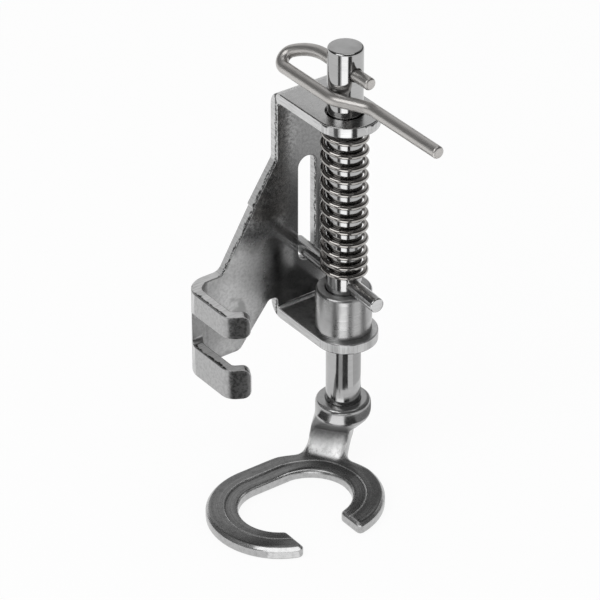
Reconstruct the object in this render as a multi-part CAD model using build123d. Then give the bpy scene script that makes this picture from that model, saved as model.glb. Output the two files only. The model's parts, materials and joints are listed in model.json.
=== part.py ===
from build123d import *
import os
from math import acos, atan2, cos, degrees, radians, sin

# Spring-loaded free-motion presser foot for a high-shank sewing machine, in millimetres.
# Pieces are drawn about the plunger rod: X and Y from its axis, Z up from the sole. -Y is towards the sewer.
# The finished pieces are moved so that the origin is the middle of the clamp screw, on the fork's outer face.

# Stock sizes
SHEET = 1.6  # bracket sheet
ROD_D = 5.0
PIN_D = 2.2
CLIP_WIRE_D = 1.8
SPRING_WIRE_D = 0.75

# Clearances
RUNNING_CLEARANCE = 0.06  # radial, rod in the bush
TOP_HOLE_CLEARANCE = 0.2  # radial, rod in the top flange
SEAT_CLEARANCE = 0.02  # radial, pieces set into each other
CLIP_CLEARANCE = 0.15  # radial, wire in the rod's upper hole
CLIP_GRIP_GAP = 0.05  # wire's second leg beside the rod
STOP_GAP = 0.1  # pin over the bush at rest
SPRING_GAP = 0.05  # spring to the top flange, and to the pin
SPRING_CLEARANCE = 0.15  # radial, spring round the rod

# Heights, each from the one below it
FOOT_THICK = 1.9
BOSS_TOP = 10.7  # above the sole
BOSS_STRAIGHT = 2.6
ROD_SOCKET = 3.0  # depth of the rod in the boss
LIFT_GAP = 10.3  # boss top to the lower flange
BUSH_HEIGHT = 6.6  # above the lower flange
SPRING_LENGTH = 24.2  # fitted length, pin to top flange
ROD_ABOVE = 9.9  # rod end above the top flange

# Bracket strip and its two flanges
STRIP_WIDTH = 9.2
ROD_TO_PLATE = 9.4  # rod axis to the plate's front face
FLANGE_NOSE = 0.5  # centre of the flanges' round end, in front of the rod
FLANGE_BEND = 0.6  # inside radius
GUIDE_SLOT_WIDTH = 3.1
GUIDE_SLOT_RISE = 15.2  # slot's upper end above the pin's axis
GUIDE_SLOT_SIDE = 0.6  # slot to the right of the rod

# Side arm and clamp fork
ARM_START_DROP = 9.0  # below the top flange
ARM_START_ROUND = 1.2
ARM_END_TO_BEND = 2.6  # arm's sloping edge to the fork's bend
ARM_END_ROUND = 1.5
ARM_STEP = 0.3  # shear step on the sloping edge
ARM_STEP_SHARE = 0.42  # of the edge above the step
ARM_HEEL_WIDTH = 5.2  # flat lower edge, from the bend
ARM_HEEL_ROUND = 1.2
RELIEF_WIDTH = 1.5  # bend relief beside the lower flange
RELIEF_RISE = 1.75  # relief above the lower flange
RELIEF_ROUND = 0.7
ROD_TO_FORK = 20.0  # rod axis to the fork's outer face
FORK_BEND = 2.0  # inside radius
FORK_FLAT = 6.0
FORK_CURL_BEND = 0.7  # inside radius of the curled tips
FORK_CURL_ANGLE = 62.0
FORK_TIP = 2.0
FORK_TIP_ROUND = 1.2
SCREW_ABOVE_FLANGE = 2.6  # screw axis above the lower flange
SCREW_SLOT = 5.2
SCREW_SLOT_ROUND = 0.8
SCREW_SLOT_INTO_BEND = 1.5
UPPER_FINGER = 3.5
LOWER_FINGER = 4.7

# Bush
BUSH_WALL = 1.44  # round the rod's running clearance
BUSH_SPIGOT_WALL = 0.74
BUSH_EDGE = 0.5

# Foot
BOSS_WALL = 1.48  # round the rod's socket
BOSS_EDGE = 0.3
RING_LEFT = 12.95  # ring's centre, left of the rod
RING_FRONT = 6.3  # ring's centre, in front of the rod
RING_STRAIGHT = 5.4
RING_INNER_R = 5.85
RING_WALL = 4.6
RING_EDGE = 0.5
RING_SOLE_EDGE = 0.3
RING_LAND = 2.0  # width of the sunk inner land
RING_LAND_DEPTH = 0.2
TOE_GAP = 8.85
TOE_GAP_LEFT = 0.98  # gap's middle, left of the ring's
TOE_ROUND = 0.8
NECK_TURN = 36.3  # broad face turned from -X towards -Y
NECK_WIDTH = 5.95
NECK_THICK = 3.6
NECK_SIDE = 1.75  # to the back and left of the rod
NECK_WAIST_Z = 5.1
NECK_WAIST_SET = 0.96  # waist's middle, behind the rod
NECK_FOOT_SET = 2.4  # neck's middle on the ring, in front of the rod
NECK_ROUND = 0.7
NECK_FLARE = 0.9  # spread of the neck's foot on the ring, to the left and front

# Spring and pin
SPRING_TURNS = 11.5
PIN_FRONT = 8.4  # front end from the rod axis
PIN_BEHIND_PLATE = 0.9
PIN_EDGE = 0.2

# Rod ends and lifter wire
ROD_EDGE = 0.35
CLIP_HOLE_DROP = 3.4  # upper cross hole below the rod's end
CLIP_LEG_DROP = 2.85  # second leg below the first
CLIP_STUB = 5.7  # first leg's end in front of the rod axis
CLIP_LOOP_START = 4.5  # behind the rod axis
CLIP_WIDE_BEND = 8.9  # loop's wide bend, on the first leg
CLIP_TIGHT_BEND = 1.4  # loop's tight bend, on the second leg
CLIP_JOG_START = 1.9  # in front of the rod axis
CLIP_JOG_LENGTH = 4.9
CLIP_ARM_SIDE = 0.8  # arm to the left of the rod axis
CLIP_JOG_BEND = 3.5
CLIP_ARM_END = 21.6  # in front of the rod axis
CLIP_EDGE = 0.3

# Heights worked out from the stack, above the sole
LOWER_FLANGE_UNDER = BOSS_TOP + LIFT_GAP
LOWER_FLANGE_TOP = LOWER_FLANGE_UNDER + SHEET
BUSH_TOP = LOWER_FLANGE_TOP + BUSH_HEIGHT
PIN_Z = BUSH_TOP + STOP_GAP + PIN_D / 2
TOP_FLANGE_UNDER = PIN_Z + PIN_D / 2 + SPRING_LENGTH
TOP_FLANGE_TOP = TOP_FLANGE_UNDER + SHEET
ROD_END = TOP_FLANGE_TOP + ROD_ABOVE
CLIP_Z = ROD_END - CLIP_HOLE_DROP
SCREW_Z = LOWER_FLANGE_TOP + SCREW_ABOVE_FLANGE
FORK_TOP = SCREW_Z + SCREW_SLOT / 2 + UPPER_FINGER
FORK_BOTTOM = SCREW_Z - SCREW_SLOT / 2 - LOWER_FINGER
ARM_START_Z = TOP_FLANGE_UNDER - ARM_START_DROP
RELIEF_TOP = LOWER_FLANGE_TOP + RELIEF_RISE

# Plan positions worked out from the sizes above
PLATE_BACK = ROD_TO_PLATE + SHEET
PLATE_MIDDLE = ROD_TO_PLATE + SHEET / 2
BEND_OUT = FLANGE_BEND + SHEET
FORK_MIDDLE_X = -ROD_TO_FORK + SHEET / 2
FORK_BEND_MIDDLE = FORK_BEND + SHEET / 2
FORK_BEND_X = FORK_MIDDLE_X + FORK_BEND_MIDDLE
FORK_FLAT_BACK = PLATE_MIDDLE - FORK_BEND_MIDDLE
SCREW_Y = FORK_FLAT_BACK - FORK_FLAT / 2
PIN_TURN = degrees(atan2(GUIDE_SLOT_SIDE, PLATE_MIDDLE))
GUIDE_HOLE_R = ROD_D / 2 + RUNNING_CLEARANCE
TOP_HOLE_R = ROD_D / 2 + TOP_HOLE_CLEARANCE
SOCKET_R = ROD_D / 2 + SEAT_CLEARANCE
BOSS_R = SOCKET_R + BOSS_WALL
BUSH_R = GUIDE_HOLE_R + BUSH_WALL
SPIGOT_R = GUIDE_HOLE_R + BUSH_SPIGOT_WALL
SPRING_R = ROD_D / 2 + SPRING_CLEARANCE + SPRING_WIRE_D / 2
RING_OUTER_R = RING_INNER_R + RING_WALL
OVERSIZE = ROD_END  # reach of cutting tools that pass right through
TO_SCREW = Pos(ROD_TO_FORK, -SCREW_Y, -SCREW_Z)


def upright(profile: Sketch, front: float, depth: float) -> Part:
    """Raise a profile drawn as seen from the front and give it a depth, from its front face backwards."""
    plane = Plane(origin=(0, front, 0), x_dir=(1, 0, 0), z_dir=(0, -1, 0))
    return extrude(plane * profile, amount=-depth)


def near(vertices: ShapeList, x: float, y: float) -> Vertex:
    """Pick the corner of a drawn profile that lies nearest to a point."""
    return vertices.sort_by_distance((x, y, 0))[0]


def plate_profile() -> Sketch:
    """The back plate and its side arm as seen from the front."""
    half = STRIP_WIDTH / 2
    arm_end = FORK_BEND_X + ARM_END_TO_BEND
    heel = FORK_BEND_X + ARM_HEEL_WIDTH
    relief = -half - RELIEF_WIDTH
    slope = Line((-half, ARM_START_Z), (arm_end, FORK_TOP))
    step = slope @ ARM_STEP_SHARE
    outward = (slope % 0).rotate(Axis.Z, -90)
    corners = [
        (-half, TOP_FLANGE_TOP - BEND_OUT),
        (-half, ARM_START_Z),
        step + outward * ARM_STEP,
        step,
        (arm_end, FORK_TOP),
        (FORK_BEND_X, FORK_TOP),
        (FORK_BEND_X, FORK_BOTTOM),
        (heel, FORK_BOTTOM),
        (relief, RELIEF_TOP),
        (-half, RELIEF_TOP),
        (-half, LOWER_FLANGE_UNDER + BEND_OUT),
        (half, LOWER_FLANGE_UNDER + BEND_OUT),
        (half, TOP_FLANGE_TOP - BEND_OUT),
    ]
    sheet = make_face(Polyline(*corners, close=True))
    for x, y, radius in [
        (-half, ARM_START_Z, ARM_START_ROUND),
        (arm_end, FORK_TOP, ARM_END_ROUND),
        (heel, FORK_BOTTOM, ARM_HEEL_ROUND),
        (relief, RELIEF_TOP, RELIEF_ROUND),
        (-half, RELIEF_TOP, RELIEF_ROUND),
    ]:
        sheet = fillet(near(sheet.vertices(), x, y), radius)
    slot_length = GUIDE_SLOT_RISE + GUIDE_SLOT_WIDTH / 2
    slot_middle = PIN_Z + GUIDE_SLOT_RISE / 2 - GUIDE_SLOT_WIDTH / 4
    slot = SlotOverall(slot_length, GUIDE_SLOT_WIDTH, rotation=90)
    return sheet - Pos(GUIDE_SLOT_SIDE, slot_middle) * slot


def flange(under: float, hole_r: float) -> Part:
    """A flat flange with a round front end, from its bend forwards, with its hole on the rod's axis."""
    bend_y = ROD_TO_PLATE - FLANGE_BEND
    length = bend_y + FLANGE_NOSE
    outline = Pos(0, bend_y - length / 2) * Rectangle(STRIP_WIDTH, length)
    outline += Pos(0, -FLANGE_NOSE) * Circle(STRIP_WIDTH / 2)
    outline -= Circle(hole_r)
    return extrude(Pos(0, 0, under) * outline, amount=SHEET)


def flange_bend(start: float, rises: bool) -> Part:
    """The quarter bend between a flange and the plate, starting at the flange's middle height."""
    centre_y = ROD_TO_PLATE - FLANGE_BEND
    turn = 90 if rises else -90
    radius = FLANGE_BEND + SHEET / 2
    plane = Plane(origin=(0, centre_y, start), x_dir=(0, 1, 0), z_dir=(1, 0, 0))
    path = plane * JernArc((0, 0), (1, 0), radius, turn)
    across = Plane(origin=(0, centre_y, start), x_dir=(1, 0, 0), z_dir=(0, 1, 0))
    return sweep(across * Rectangle(STRIP_WIDTH, SHEET), path)


def fork() -> Part:
    """The fork: the arm's sheet folded forwards into two fingers whose tips curl in."""
    bend = JernArc((FORK_BEND_X, PLATE_MIDDLE), (-1, 0), FORK_BEND_MIDDLE, 90)
    flat = Line(bend @ 1, bend @ 1 - Vector(0, FORK_FLAT))
    curl = JernArc(flat @ 1, flat % 1, FORK_CURL_BEND + SHEET / 2, FORK_CURL_ANGLE)
    tip = Line(curl @ 1, curl @ 1 + (curl % 1) * FORK_TIP)
    path = Pos(0, 0, (FORK_TOP + FORK_BOTTOM) / 2) * Wire([bend, flat, curl, tip])
    across = Plane(origin=path @ 0, x_dir=(0, 1, 0), z_dir=path % 0)
    fingers = sweep(across * Rectangle(SHEET, FORK_TOP - FORK_BOTTOM), path)
    slot_back = FORK_FLAT_BACK + SCREW_SLOT_INTO_BEND
    slot_length = slot_back + OVERSIZE
    slot_profile = Rectangle(slot_length, SCREW_SLOT)
    slot_profile = fillet(slot_profile.vertices(), SCREW_SLOT_ROUND)
    side = Plane(origin=(0, slot_back - slot_length / 2, SCREW_Z), x_dir=(0, -1, 0), z_dir=(-1, 0, 0))
    fingers -= extrude(side * slot_profile, amount=OVERSIZE)
    end = Plane(origin=tip @ 1, z_dir=tip % 1)
    tip_edges = fingers.edges().filter_by(lambda edge: edge.length < SHEET + SEAT_CLEARANCE)
    tip_edges = tip_edges.filter_by(lambda edge: abs((edge % 0).Z) < SEAT_CLEARANCE)
    tip_edges = tip_edges.filter_by(lambda edge: abs(end.to_local_coords(edge.center()).Z) < SEAT_CLEARANCE)
    return fillet(tip_edges, FORK_TIP_ROUND)


def bracket() -> Part:
    """The folded bracket: top flange, slotted plate, lower flange, side arm and clamp fork, all one sheet."""
    sheet = upright(plate_profile(), ROD_TO_PLATE, SHEET)
    sheet += flange(TOP_FLANGE_UNDER, TOP_HOLE_R)
    sheet += flange_bend(TOP_FLANGE_UNDER + SHEET / 2, rises=False)
    sheet += flange(LOWER_FLANGE_UNDER, SPIGOT_R + SEAT_CLEARANCE)
    sheet += flange_bend(LOWER_FLANGE_UNDER + SHEET / 2, rises=True)
    sheet += fork()
    return sheet


def plunger_rod() -> Part:
    """The plunger's rod with its two cross holes."""
    bottom = BOSS_TOP - ROD_SOCKET
    rod = extrude(Pos(0, 0, bottom) * Circle(ROD_D / 2), amount=ROD_END - bottom)
    rod = chamfer(rod.edges().group_by(Axis.Z)[-1], ROD_EDGE)
    pin_hole = cross_cylinder(PIN_D / 2 + SEAT_CLEARANCE, ROD_D, ROD_D, PIN_Z)
    clip_hole = cross_cylinder(CLIP_WIRE_D / 2 + CLIP_CLEARANCE, ROD_D, ROD_D, CLIP_Z)
    return rod - Rot(0, 0, -PIN_TURN) * pin_hole - clip_hole


def cross_cylinder(radius: float, front: float, behind: float, height: float) -> Part:
    """A cylinder across the rod, from a distance in front of its axis to a distance behind it."""
    start = Plane(origin=(0, -front, height), x_dir=(1, 0, 0), z_dir=(0, 1, 0))
    return extrude(start * Circle(radius), amount=front + behind)


def cross_pin() -> Part:
    """The pin through the rod, from its free front end to just behind the plate."""
    behind = (PLATE_BACK + PIN_BEHIND_PLATE) / cos(radians(PIN_TURN))
    pin = cross_cylinder(PIN_D / 2, PIN_FRONT, behind, PIN_Z)
    pin = chamfer(pin.edges().filter_by(GeomType.CIRCLE), PIN_EDGE)
    return Rot(0, 0, -PIN_TURN) * pin


def guide_bush() -> Part:
    """The turned bush on the lower flange, with a spigot through the flange's hole."""
    body = extrude(Pos(0, 0, LOWER_FLANGE_TOP) * Circle(BUSH_R), amount=BUSH_HEIGHT)
    body = chamfer(body.edges().group_by(Axis.Z)[-1], BUSH_EDGE)
    body += extrude(Pos(0, 0, LOWER_FLANGE_UNDER) * Circle(SPIGOT_R), amount=SHEET)
    return body - extrude(Circle(GUIDE_HOLE_R), amount=ROD_END)


def stadium(radius: float) -> Sketch:
    """The ring's oblong outline, offset to a given end radius."""
    return Pos(-RING_LEFT, -RING_FRONT) * SlotOverall(RING_STRAIGHT + 2 * radius, 2 * radius)


def toe_ring() -> Part:
    """The open-toe ring, with a sunk land round the needle opening."""
    outline = stadium(RING_OUTER_R) - stadium(RING_INNER_R)
    gap_middle = -RING_LEFT - TOE_GAP_LEFT
    outline -= Pos(gap_middle, -RING_FRONT - RING_OUTER_R) * Rectangle(TOE_GAP, 2 * RING_OUTER_R)
    corners = outline.vertices()
    toes = corners.filter_by(lambda corner: abs(abs(corner.X - gap_middle) - TOE_GAP / 2) < SEAT_CLEARANCE)
    outline = fillet(toes, TOE_ROUND)
    ring = extrude(outline, amount=FOOT_THICK)
    ring = chamfer(ring.edges().group_by(Axis.Z)[-1], RING_EDGE)
    ring = chamfer(ring.edges().group_by(Axis.Z)[0], RING_SOLE_EDGE)
    land = Pos(0, 0, FOOT_THICK - RING_LAND_DEPTH) * stadium(RING_INNER_R + RING_LAND)
    return ring - extrude(land, amount=FOOT_THICK)


def neck_plane(height: float, forward: float = 0.0) -> Plane:
    """A level plane on the slanting neck at a height, moved towards the ring if asked."""
    turn = radians(NECK_TURN)
    toward = Vector(-cos(turn), -sin(turn))
    along = Vector(sin(turn), -cos(turn))
    slant = (NECK_WAIST_SET + NECK_FOOT_SET) / (NECK_WAIST_Z - FOOT_THICK / 2)
    middle = toward * (forward - NECK_WAIST_SET + (NECK_WAIST_Z - height) * slant) - along * NECK_SIDE
    return Plane(origin=(middle.X, middle.Y, height), x_dir=along, z_dir=(0, 0, 1))


def foot() -> Part:
    """The cast foot: ring, slanting neck and round boss in one."""
    boss_under = BOSS_TOP - BOSS_STRAIGHT
    section = RectangleRounded(NECK_WIDTH, NECK_THICK, NECK_ROUND)
    wide_section = Pos(-NECK_FLARE / 2, 0) * RectangleRounded(NECK_WIDTH + NECK_FLARE, NECK_THICK, NECK_ROUND)
    waist = neck_plane(NECK_WAIST_Z) * section
    slope = loft([waist, neck_plane(FOOT_THICK / 2) * section], ruled=True)
    spread = neck_plane(FOOT_THICK / 2, NECK_FLARE) * wide_section
    flare = loft([neck_plane(FOOT_THICK + NECK_FLARE) * section, spread], ruled=True)
    turned = Plane(origin=(0, 0, boss_under), x_dir=neck_plane(boss_under).x_dir, z_dir=(0, 0, 1))
    shoulder = loft([turned * Circle(BOSS_R), waist])
    boss = extrude(Pos(0, 0, boss_under) * Circle(BOSS_R), amount=BOSS_STRAIGHT)
    boss = chamfer(boss.edges().group_by(Axis.Z)[-1], BOSS_EDGE)
    body = toe_ring() + slope + flare + shoulder + boss
    socket = extrude(Pos(0, 0, BOSS_TOP - ROD_SOCKET) * Circle(SOCKET_R), amount=BOSS_TOP)
    return body - socket


def return_spring() -> Part:
    """The compression spring between the pin and the top flange."""
    low = PIN_Z + PIN_D / 2 + SPRING_GAP + SPRING_WIRE_D / 2
    high = TOP_FLANGE_UNDER - SPRING_GAP - SPRING_WIRE_D / 2
    rise = high - low
    coil = Pos(0, 0, low) * Helix(rise / SPRING_TURNS, rise, SPRING_R)
    section = Plane(origin=coil @ 0, z_dir=coil % 0) * Circle(SPRING_WIRE_D / 2)
    return sweep(section, coil, is_frenet=True)


def lifter_wire() -> Part:
    """The wire clip: a leg through the rod, a loop behind it, a leg beside it and the long arm in front."""
    leg_x = ROD_D / 2 + CLIP_WIRE_D / 2 + CLIP_GRIP_GAP
    spread = Vector(-leg_x, 0, -CLIP_LEG_DROP)
    loop_plane = Plane(origin=(0, 0, CLIP_Z), x_dir=(0, 1, 0), z_dir=Vector(0, 1, 0).cross(spread))
    difference = CLIP_WIDE_BEND - CLIP_TIGHT_BEND
    share = (spread.length - 2 * CLIP_TIGHT_BEND) / difference
    wide_turn = degrees(acos(1 - share))
    leg = Line((-CLIP_STUB, 0), (CLIP_LOOP_START, 0))
    wide = JernArc(leg @ 1, leg % 1, CLIP_WIDE_BEND, wide_turn)
    tight = JernArc(wide @ 1, wide % 1, CLIP_TIGHT_BEND, 180 - wide_turn)
    loop = [loop_plane * piece for piece in (leg, wide, tight)]
    arm = FilletPolyline(
        loop[-1] @ 1,
        (-leg_x, -CLIP_JOG_START, CLIP_Z - CLIP_LEG_DROP),
        (-CLIP_ARM_SIDE, -CLIP_JOG_START - CLIP_JOG_LENGTH, CLIP_Z - CLIP_LEG_DROP),
        (-CLIP_ARM_SIDE, -CLIP_ARM_END, CLIP_Z - CLIP_LEG_DROP),
        radius=CLIP_JOG_BEND,
    )
    path = Wire([*loop, *arm.edges()])
    section = Plane(origin=path @ 0, z_dir=path % 0) * Circle(CLIP_WIRE_D / 2)
    wire = sweep(section, path)
    ends = wire.faces().filter_by(GeomType.PLANE).edges()
    return fillet(ends, CLIP_EDGE)


PIECES = {
    "bracket": bracket,
    "plunger_rod": plunger_rod,
    "foot": foot,
    "return_spring": return_spring,
    "cross_pin": cross_pin,
    "guide_bush": guide_bush,
    "lifter_wire": lifter_wire,
}

os.makedirs("parts", exist_ok=True)
for name, make in PIECES.items():
    export_step(TO_SCREW * make(), f"parts/{name}.step")
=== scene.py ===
import json
import logging
from dataclasses import dataclass, field
from enum import Enum
from math import acos, atan2, cos, pi, radians, sin
from typing import Any, Callable, NamedTuple, Union

import bmesh
import bpy
from mathutils import Matrix, Vector


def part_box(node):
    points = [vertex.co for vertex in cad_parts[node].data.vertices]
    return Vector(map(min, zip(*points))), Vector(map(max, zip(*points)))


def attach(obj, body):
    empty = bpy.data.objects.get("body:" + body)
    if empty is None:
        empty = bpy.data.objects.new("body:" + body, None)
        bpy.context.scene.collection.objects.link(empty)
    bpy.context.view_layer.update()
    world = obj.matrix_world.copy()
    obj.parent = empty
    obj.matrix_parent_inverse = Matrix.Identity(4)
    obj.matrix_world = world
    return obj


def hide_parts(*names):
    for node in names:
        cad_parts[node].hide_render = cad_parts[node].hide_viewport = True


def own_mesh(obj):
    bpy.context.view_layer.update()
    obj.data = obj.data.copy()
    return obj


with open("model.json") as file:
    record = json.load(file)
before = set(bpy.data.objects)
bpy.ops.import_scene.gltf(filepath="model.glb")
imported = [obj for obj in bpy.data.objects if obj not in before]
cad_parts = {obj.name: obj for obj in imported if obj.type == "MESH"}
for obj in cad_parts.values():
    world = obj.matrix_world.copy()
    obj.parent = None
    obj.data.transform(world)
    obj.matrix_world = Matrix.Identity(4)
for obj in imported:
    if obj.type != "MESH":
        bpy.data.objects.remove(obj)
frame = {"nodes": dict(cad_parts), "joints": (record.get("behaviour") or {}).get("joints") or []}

MM = 0.001
LOG = logging.getLogger("presser_foot")
NOISE_MIDDLE = 0.5
LENGTH = "length"
GIRTH = "girth"
WELD = 0.0005 * MM
FLAT_ANGLE = 0.6


class Body(Enum):
    """The two bodies that move against each other."""

    BRACKET = "bracket"
    PLUNGER = "plunger"


class Slot(Enum):
    """The record's material slots."""

    SHEET = "plated_sheet"
    POLISHED = "polished_steel"
    CASTING = "plated_casting"
    SPRING = "spring_wire"
    CLIP = "clip_wire"


class Axis(Enum):
    """The frame's axes, by number."""

    X = 0
    Y = 1
    Z = 2


Number = Union[float, "Sock"]
Span = tuple[float, float]
Triple = tuple[float, float, float]


class Sock:
    """A shader socket that takes part in Python expressions. Each expression adds its Math nodes."""

    def __init__(self, tree: "ShaderTree", socket: bpy.types.NodeSocket) -> None:
        """Keep the tree that the socket belongs to."""
        self.tree = tree
        self.socket = socket

    def _math(self, operation: str, first: Number, second: Number) -> "Sock":
        """Add one Math node.

        Args:
            operation: the node's operation.
            first: its first value.
            second: its second value.

        Returns:
            The node's result.
        """
        return self.tree.add("ShaderNodeMath", {"operation": operation}, {0: first, 1: second})

    def __add__(self, other: Number) -> "Sock":
        """This value plus another."""
        return self._math("ADD", self, other)

    __radd__ = __add__

    def __sub__(self, other: Number) -> "Sock":
        """This value less another."""
        return self._math("SUBTRACT", self, other)

    def __rsub__(self, other: Number) -> "Sock":
        """Another value less this."""
        return self._math("SUBTRACT", other, self)

    def __mul__(self, other: Number) -> "Sock":
        """This value times another."""
        return self._math("MULTIPLY", self, other)

    __rmul__ = __mul__

    def __pow__(self, other: Number) -> "Sock":
        """This value to a power."""
        return self._math("POWER", self, other)

    def __rpow__(self, other: Number) -> "Sock":
        """Another value to the power of this."""
        return self._math("POWER", other, self)

    def __abs__(self) -> "Sock":
        """This value without its sign."""
        return self._math("ABSOLUTE", self, 0.0)

    def most(self, other: Number) -> "Sock":
        """The larger of this value and another."""
        return self._math("MAXIMUM", self, other)

    def ease(self, low: float, high: float, start: float = 0.0, end: float = 1.0) -> "Sock":
        """Turn a stretch of values smoothly into another.

        Args:
            low: value that gives start.
            high: value that gives end.
            start: result at and below low.
            end: result at and above high.

        Returns:
            The eased value.
        """
        settings = {"interpolation_type": "SMOOTHSTEP"}
        return self.tree.add("ShaderNodeMapRange", settings, {0: self, 1: low, 2: high, 3: start, 4: end})

    def past(self, limit: float, fade: float) -> "Sock":
        """1 beyond a limit and 0 short of it, with a soft border."""
        return self.ease(limit - fade, limit + fade)

    def short_of(self, limit: float, fade: float) -> "Sock":
        """1 short of a limit and 0 beyond it, with a soft border."""
        return self.ease(limit - fade, limit + fade, 1.0, 0.0)


def add_node(
    tree: bpy.types.NodeTree,
    kind: str,
    settings: dict[str, Any] | None,
    inputs: dict[Any, Any] | None,
) -> bpy.types.Node:
    """Add a node to a tree, set it up and feed its sockets.

    Args:
        tree: the tree that gets the node.
        kind: the node's type.
        settings: its properties, set before its sockets.
        inputs: values or links, by socket name or number.

    Returns:
        The node.
    """
    node = tree.nodes.new(kind)
    for name, value in (settings or {}).items():
        setattr(node, name, value)
    for name, value in (inputs or {}).items():
        if isinstance(value, bpy.types.NodeSocket):
            tree.links.new(value, node.inputs[name])
        else:
            node.inputs[name].default_value = value
    return node


class ShaderTree:
    """A node tree for a material or the world, filled by one node-making method."""

    def __init__(self, tree: bpy.types.NodeTree) -> None:
        """Empty the tree first."""
        self.tree = tree
        tree.nodes.clear()

    def add(
        self,
        kind: str,
        settings: dict[str, Any] | None = None,
        inputs: dict[Any, Any] | None = None,
        out: Any = 0,
    ) -> Sock:
        """Add a node, set it up and feed its sockets.

        Args:
            kind: the node's type.
            settings: its properties, set before its sockets.
            inputs: values or links, by socket name or number.
            out: name or number of the output that is handed back.

        Returns:
            The chosen output.
        """
        given = (inputs or {}).items()
        fed = {name: value.socket if isinstance(value, Sock) else value for name, value in given}
        return Sock(self, add_node(self.tree, kind, settings, fed).outputs[out])

    def end(self, kind: str, surface: Sock) -> None:
        """Close the tree with its output node."""
        add_node(self.tree, kind, None, {"Surface": surface.socket})

    def place(self) -> Sock:
        """The point's place in the shared frame, in metres."""
        return self.add("ShaderNodeTexCoord", out="Object")

    def axis(self, axis: Axis) -> Sock:
        """One coordinate of the point's place."""
        return self.add("ShaderNodeSeparateXYZ", inputs={0: self.place()}, out=axis.value)

    def normal_axis(self, axis: Axis) -> Sock:
        """One coordinate of the surface's direction."""
        facing = self.add("ShaderNodeNewGeometry", out="Normal")
        return self.add("ShaderNodeSeparateXYZ", inputs={0: facing}, out=axis.value)

    def band(self, value: Sock, middle: float, width: float) -> Sock:
        """A soft line where a value is near a given one.

        Args:
            value: what runs across the line.
            middle: its value on the line.
            width: distance from the line at which it has faded.

        Returns:
            1 on the line, 0 beside it.
        """
        return abs(value - middle).ease(0.0, width, 1.0, 0.0)

    def noise(self, vector: Sock, octaves: float, weight: float = 0.5) -> Sock:
        """A noise over a vector.

        Args:
            vector: what it runs over, one cycle to a unit.
            octaves: number of octaves.
            weight: of each finer octave.

        Returns:
            The noise, about 0.3 to 0.7.
        """
        values = {"Vector": vector, "Scale": 1.0, "Detail": octaves, "Roughness": weight}
        return self.add("ShaderNodeTexNoise", inputs=values, out="Fac")

    def grain(self, per_mm: float | Triple, octaves: float, weight: float = 0.5) -> Sock:
        """A noise over the point's place.

        Args:
            per_mm: cycles in a millimetre, alike all round or for X, Y and Z.
            octaves: number of octaves.
            weight: of each finer octave.

        Returns:
            The noise, about 0.3 to 0.7.
        """
        counts = per_mm if isinstance(per_mm, tuple) else (per_mm,) * 3
        scale = tuple(count / MM for count in counts)
        vector = self.add("ShaderNodeMapping", inputs={"Vector": self.place(), "Scale": scale})
        return self.noise(vector, octaves, weight)

    def blend(self, share: Number, first: Any, second: Any) -> Sock:
        """Mix two colours.

        Args:
            share: 0 for the first, 1 for the second.
            first: colour or link.
            second: colour or link.

        Returns:
            The mixed colour.
        """
        return self.add("ShaderNodeMix", {"data_type": "RGBA"}, {0: share, 6: first, 7: second}, out=2)

    def bump(self, height: Sock, depth_mm: float, below: Sock | None = None) -> Sock:
        """Turn a height into a normal.

        Args:
            height: 0 to 1.
            depth_mm: depth of that height.
            below: normal from a coarser relief.

        Returns:
            The normal.
        """
        values = {"Height": height, "Strength": 1.0, "Distance": depth_mm * MM}
        if below is not None:
            values["Normal"] = below
        return self.add("ShaderNodeBump", inputs=values)


Colour = tuple[float, float, float, float]
Coat = tuple[Sock, Number, Sock, Number]


def tone(value: float, warmth: float = 0.0) -> Colour:
    """A grey as a linear colour.

    Args:
        value: brightness.
        warmth: how much red gains and blue loses, as a share.

    Returns:
        The colour with full alpha.
    """
    return (value * (1 + warmth), value, value * (1 - warmth), 1.0)


@dataclass(frozen=True)
class Finish:
    """A metal's finish: a name, a colour and how it is worked."""

    name: str
    light: float = 0.5
    dark: float = 0.4
    warmth: float = 0.0
    smooth: float = 0.1
    dull: float = 0.2

    def material(self) -> bpy.types.Material:
        """Make the material, or hand back the one already made.

        Returns:
            The finish as a material.
        """
        known = bpy.data.materials.get(self.name)
        if known is not None:
            return known
        made = bpy.data.materials.new(self.name)
        made.use_nodes = True
        tree = ShaderTree(made.node_tree)
        colour, rough, normal, metal = self.paint(tree)
        inputs = {"Base Color": colour, "Metallic": metal, "Roughness": rough, "Normal": normal}
        surface = tree.add("ShaderNodeBsdfPrincipled", inputs=inputs)
        tree.end("ShaderNodeOutputMaterial", surface)
        return made

    def paint(self, tree: ShaderTree) -> Coat:
        """Work out the finish.

        Args:
            tree: the material's tree.

        Returns:
            Colour, roughness, normal and metallic share.
        """
        raise NotImplementedError

    def shades(self, tree: ShaderTree, share: Sock, light: float | None = None) -> Sock:
        """The colour between the finish's tones.

        Args:
            tree: the material's tree.
            share: 0 for light, 1 for dark.
            light: light tone to use in place of the finish's own, with the dark tone raised alike.

        Returns:
            The colour.
        """
        lift = 1.0 if light is None else light / self.light
        return tree.blend(share, tone(self.light * lift, self.warmth), tone(self.dark * lift, self.warmth))


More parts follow.
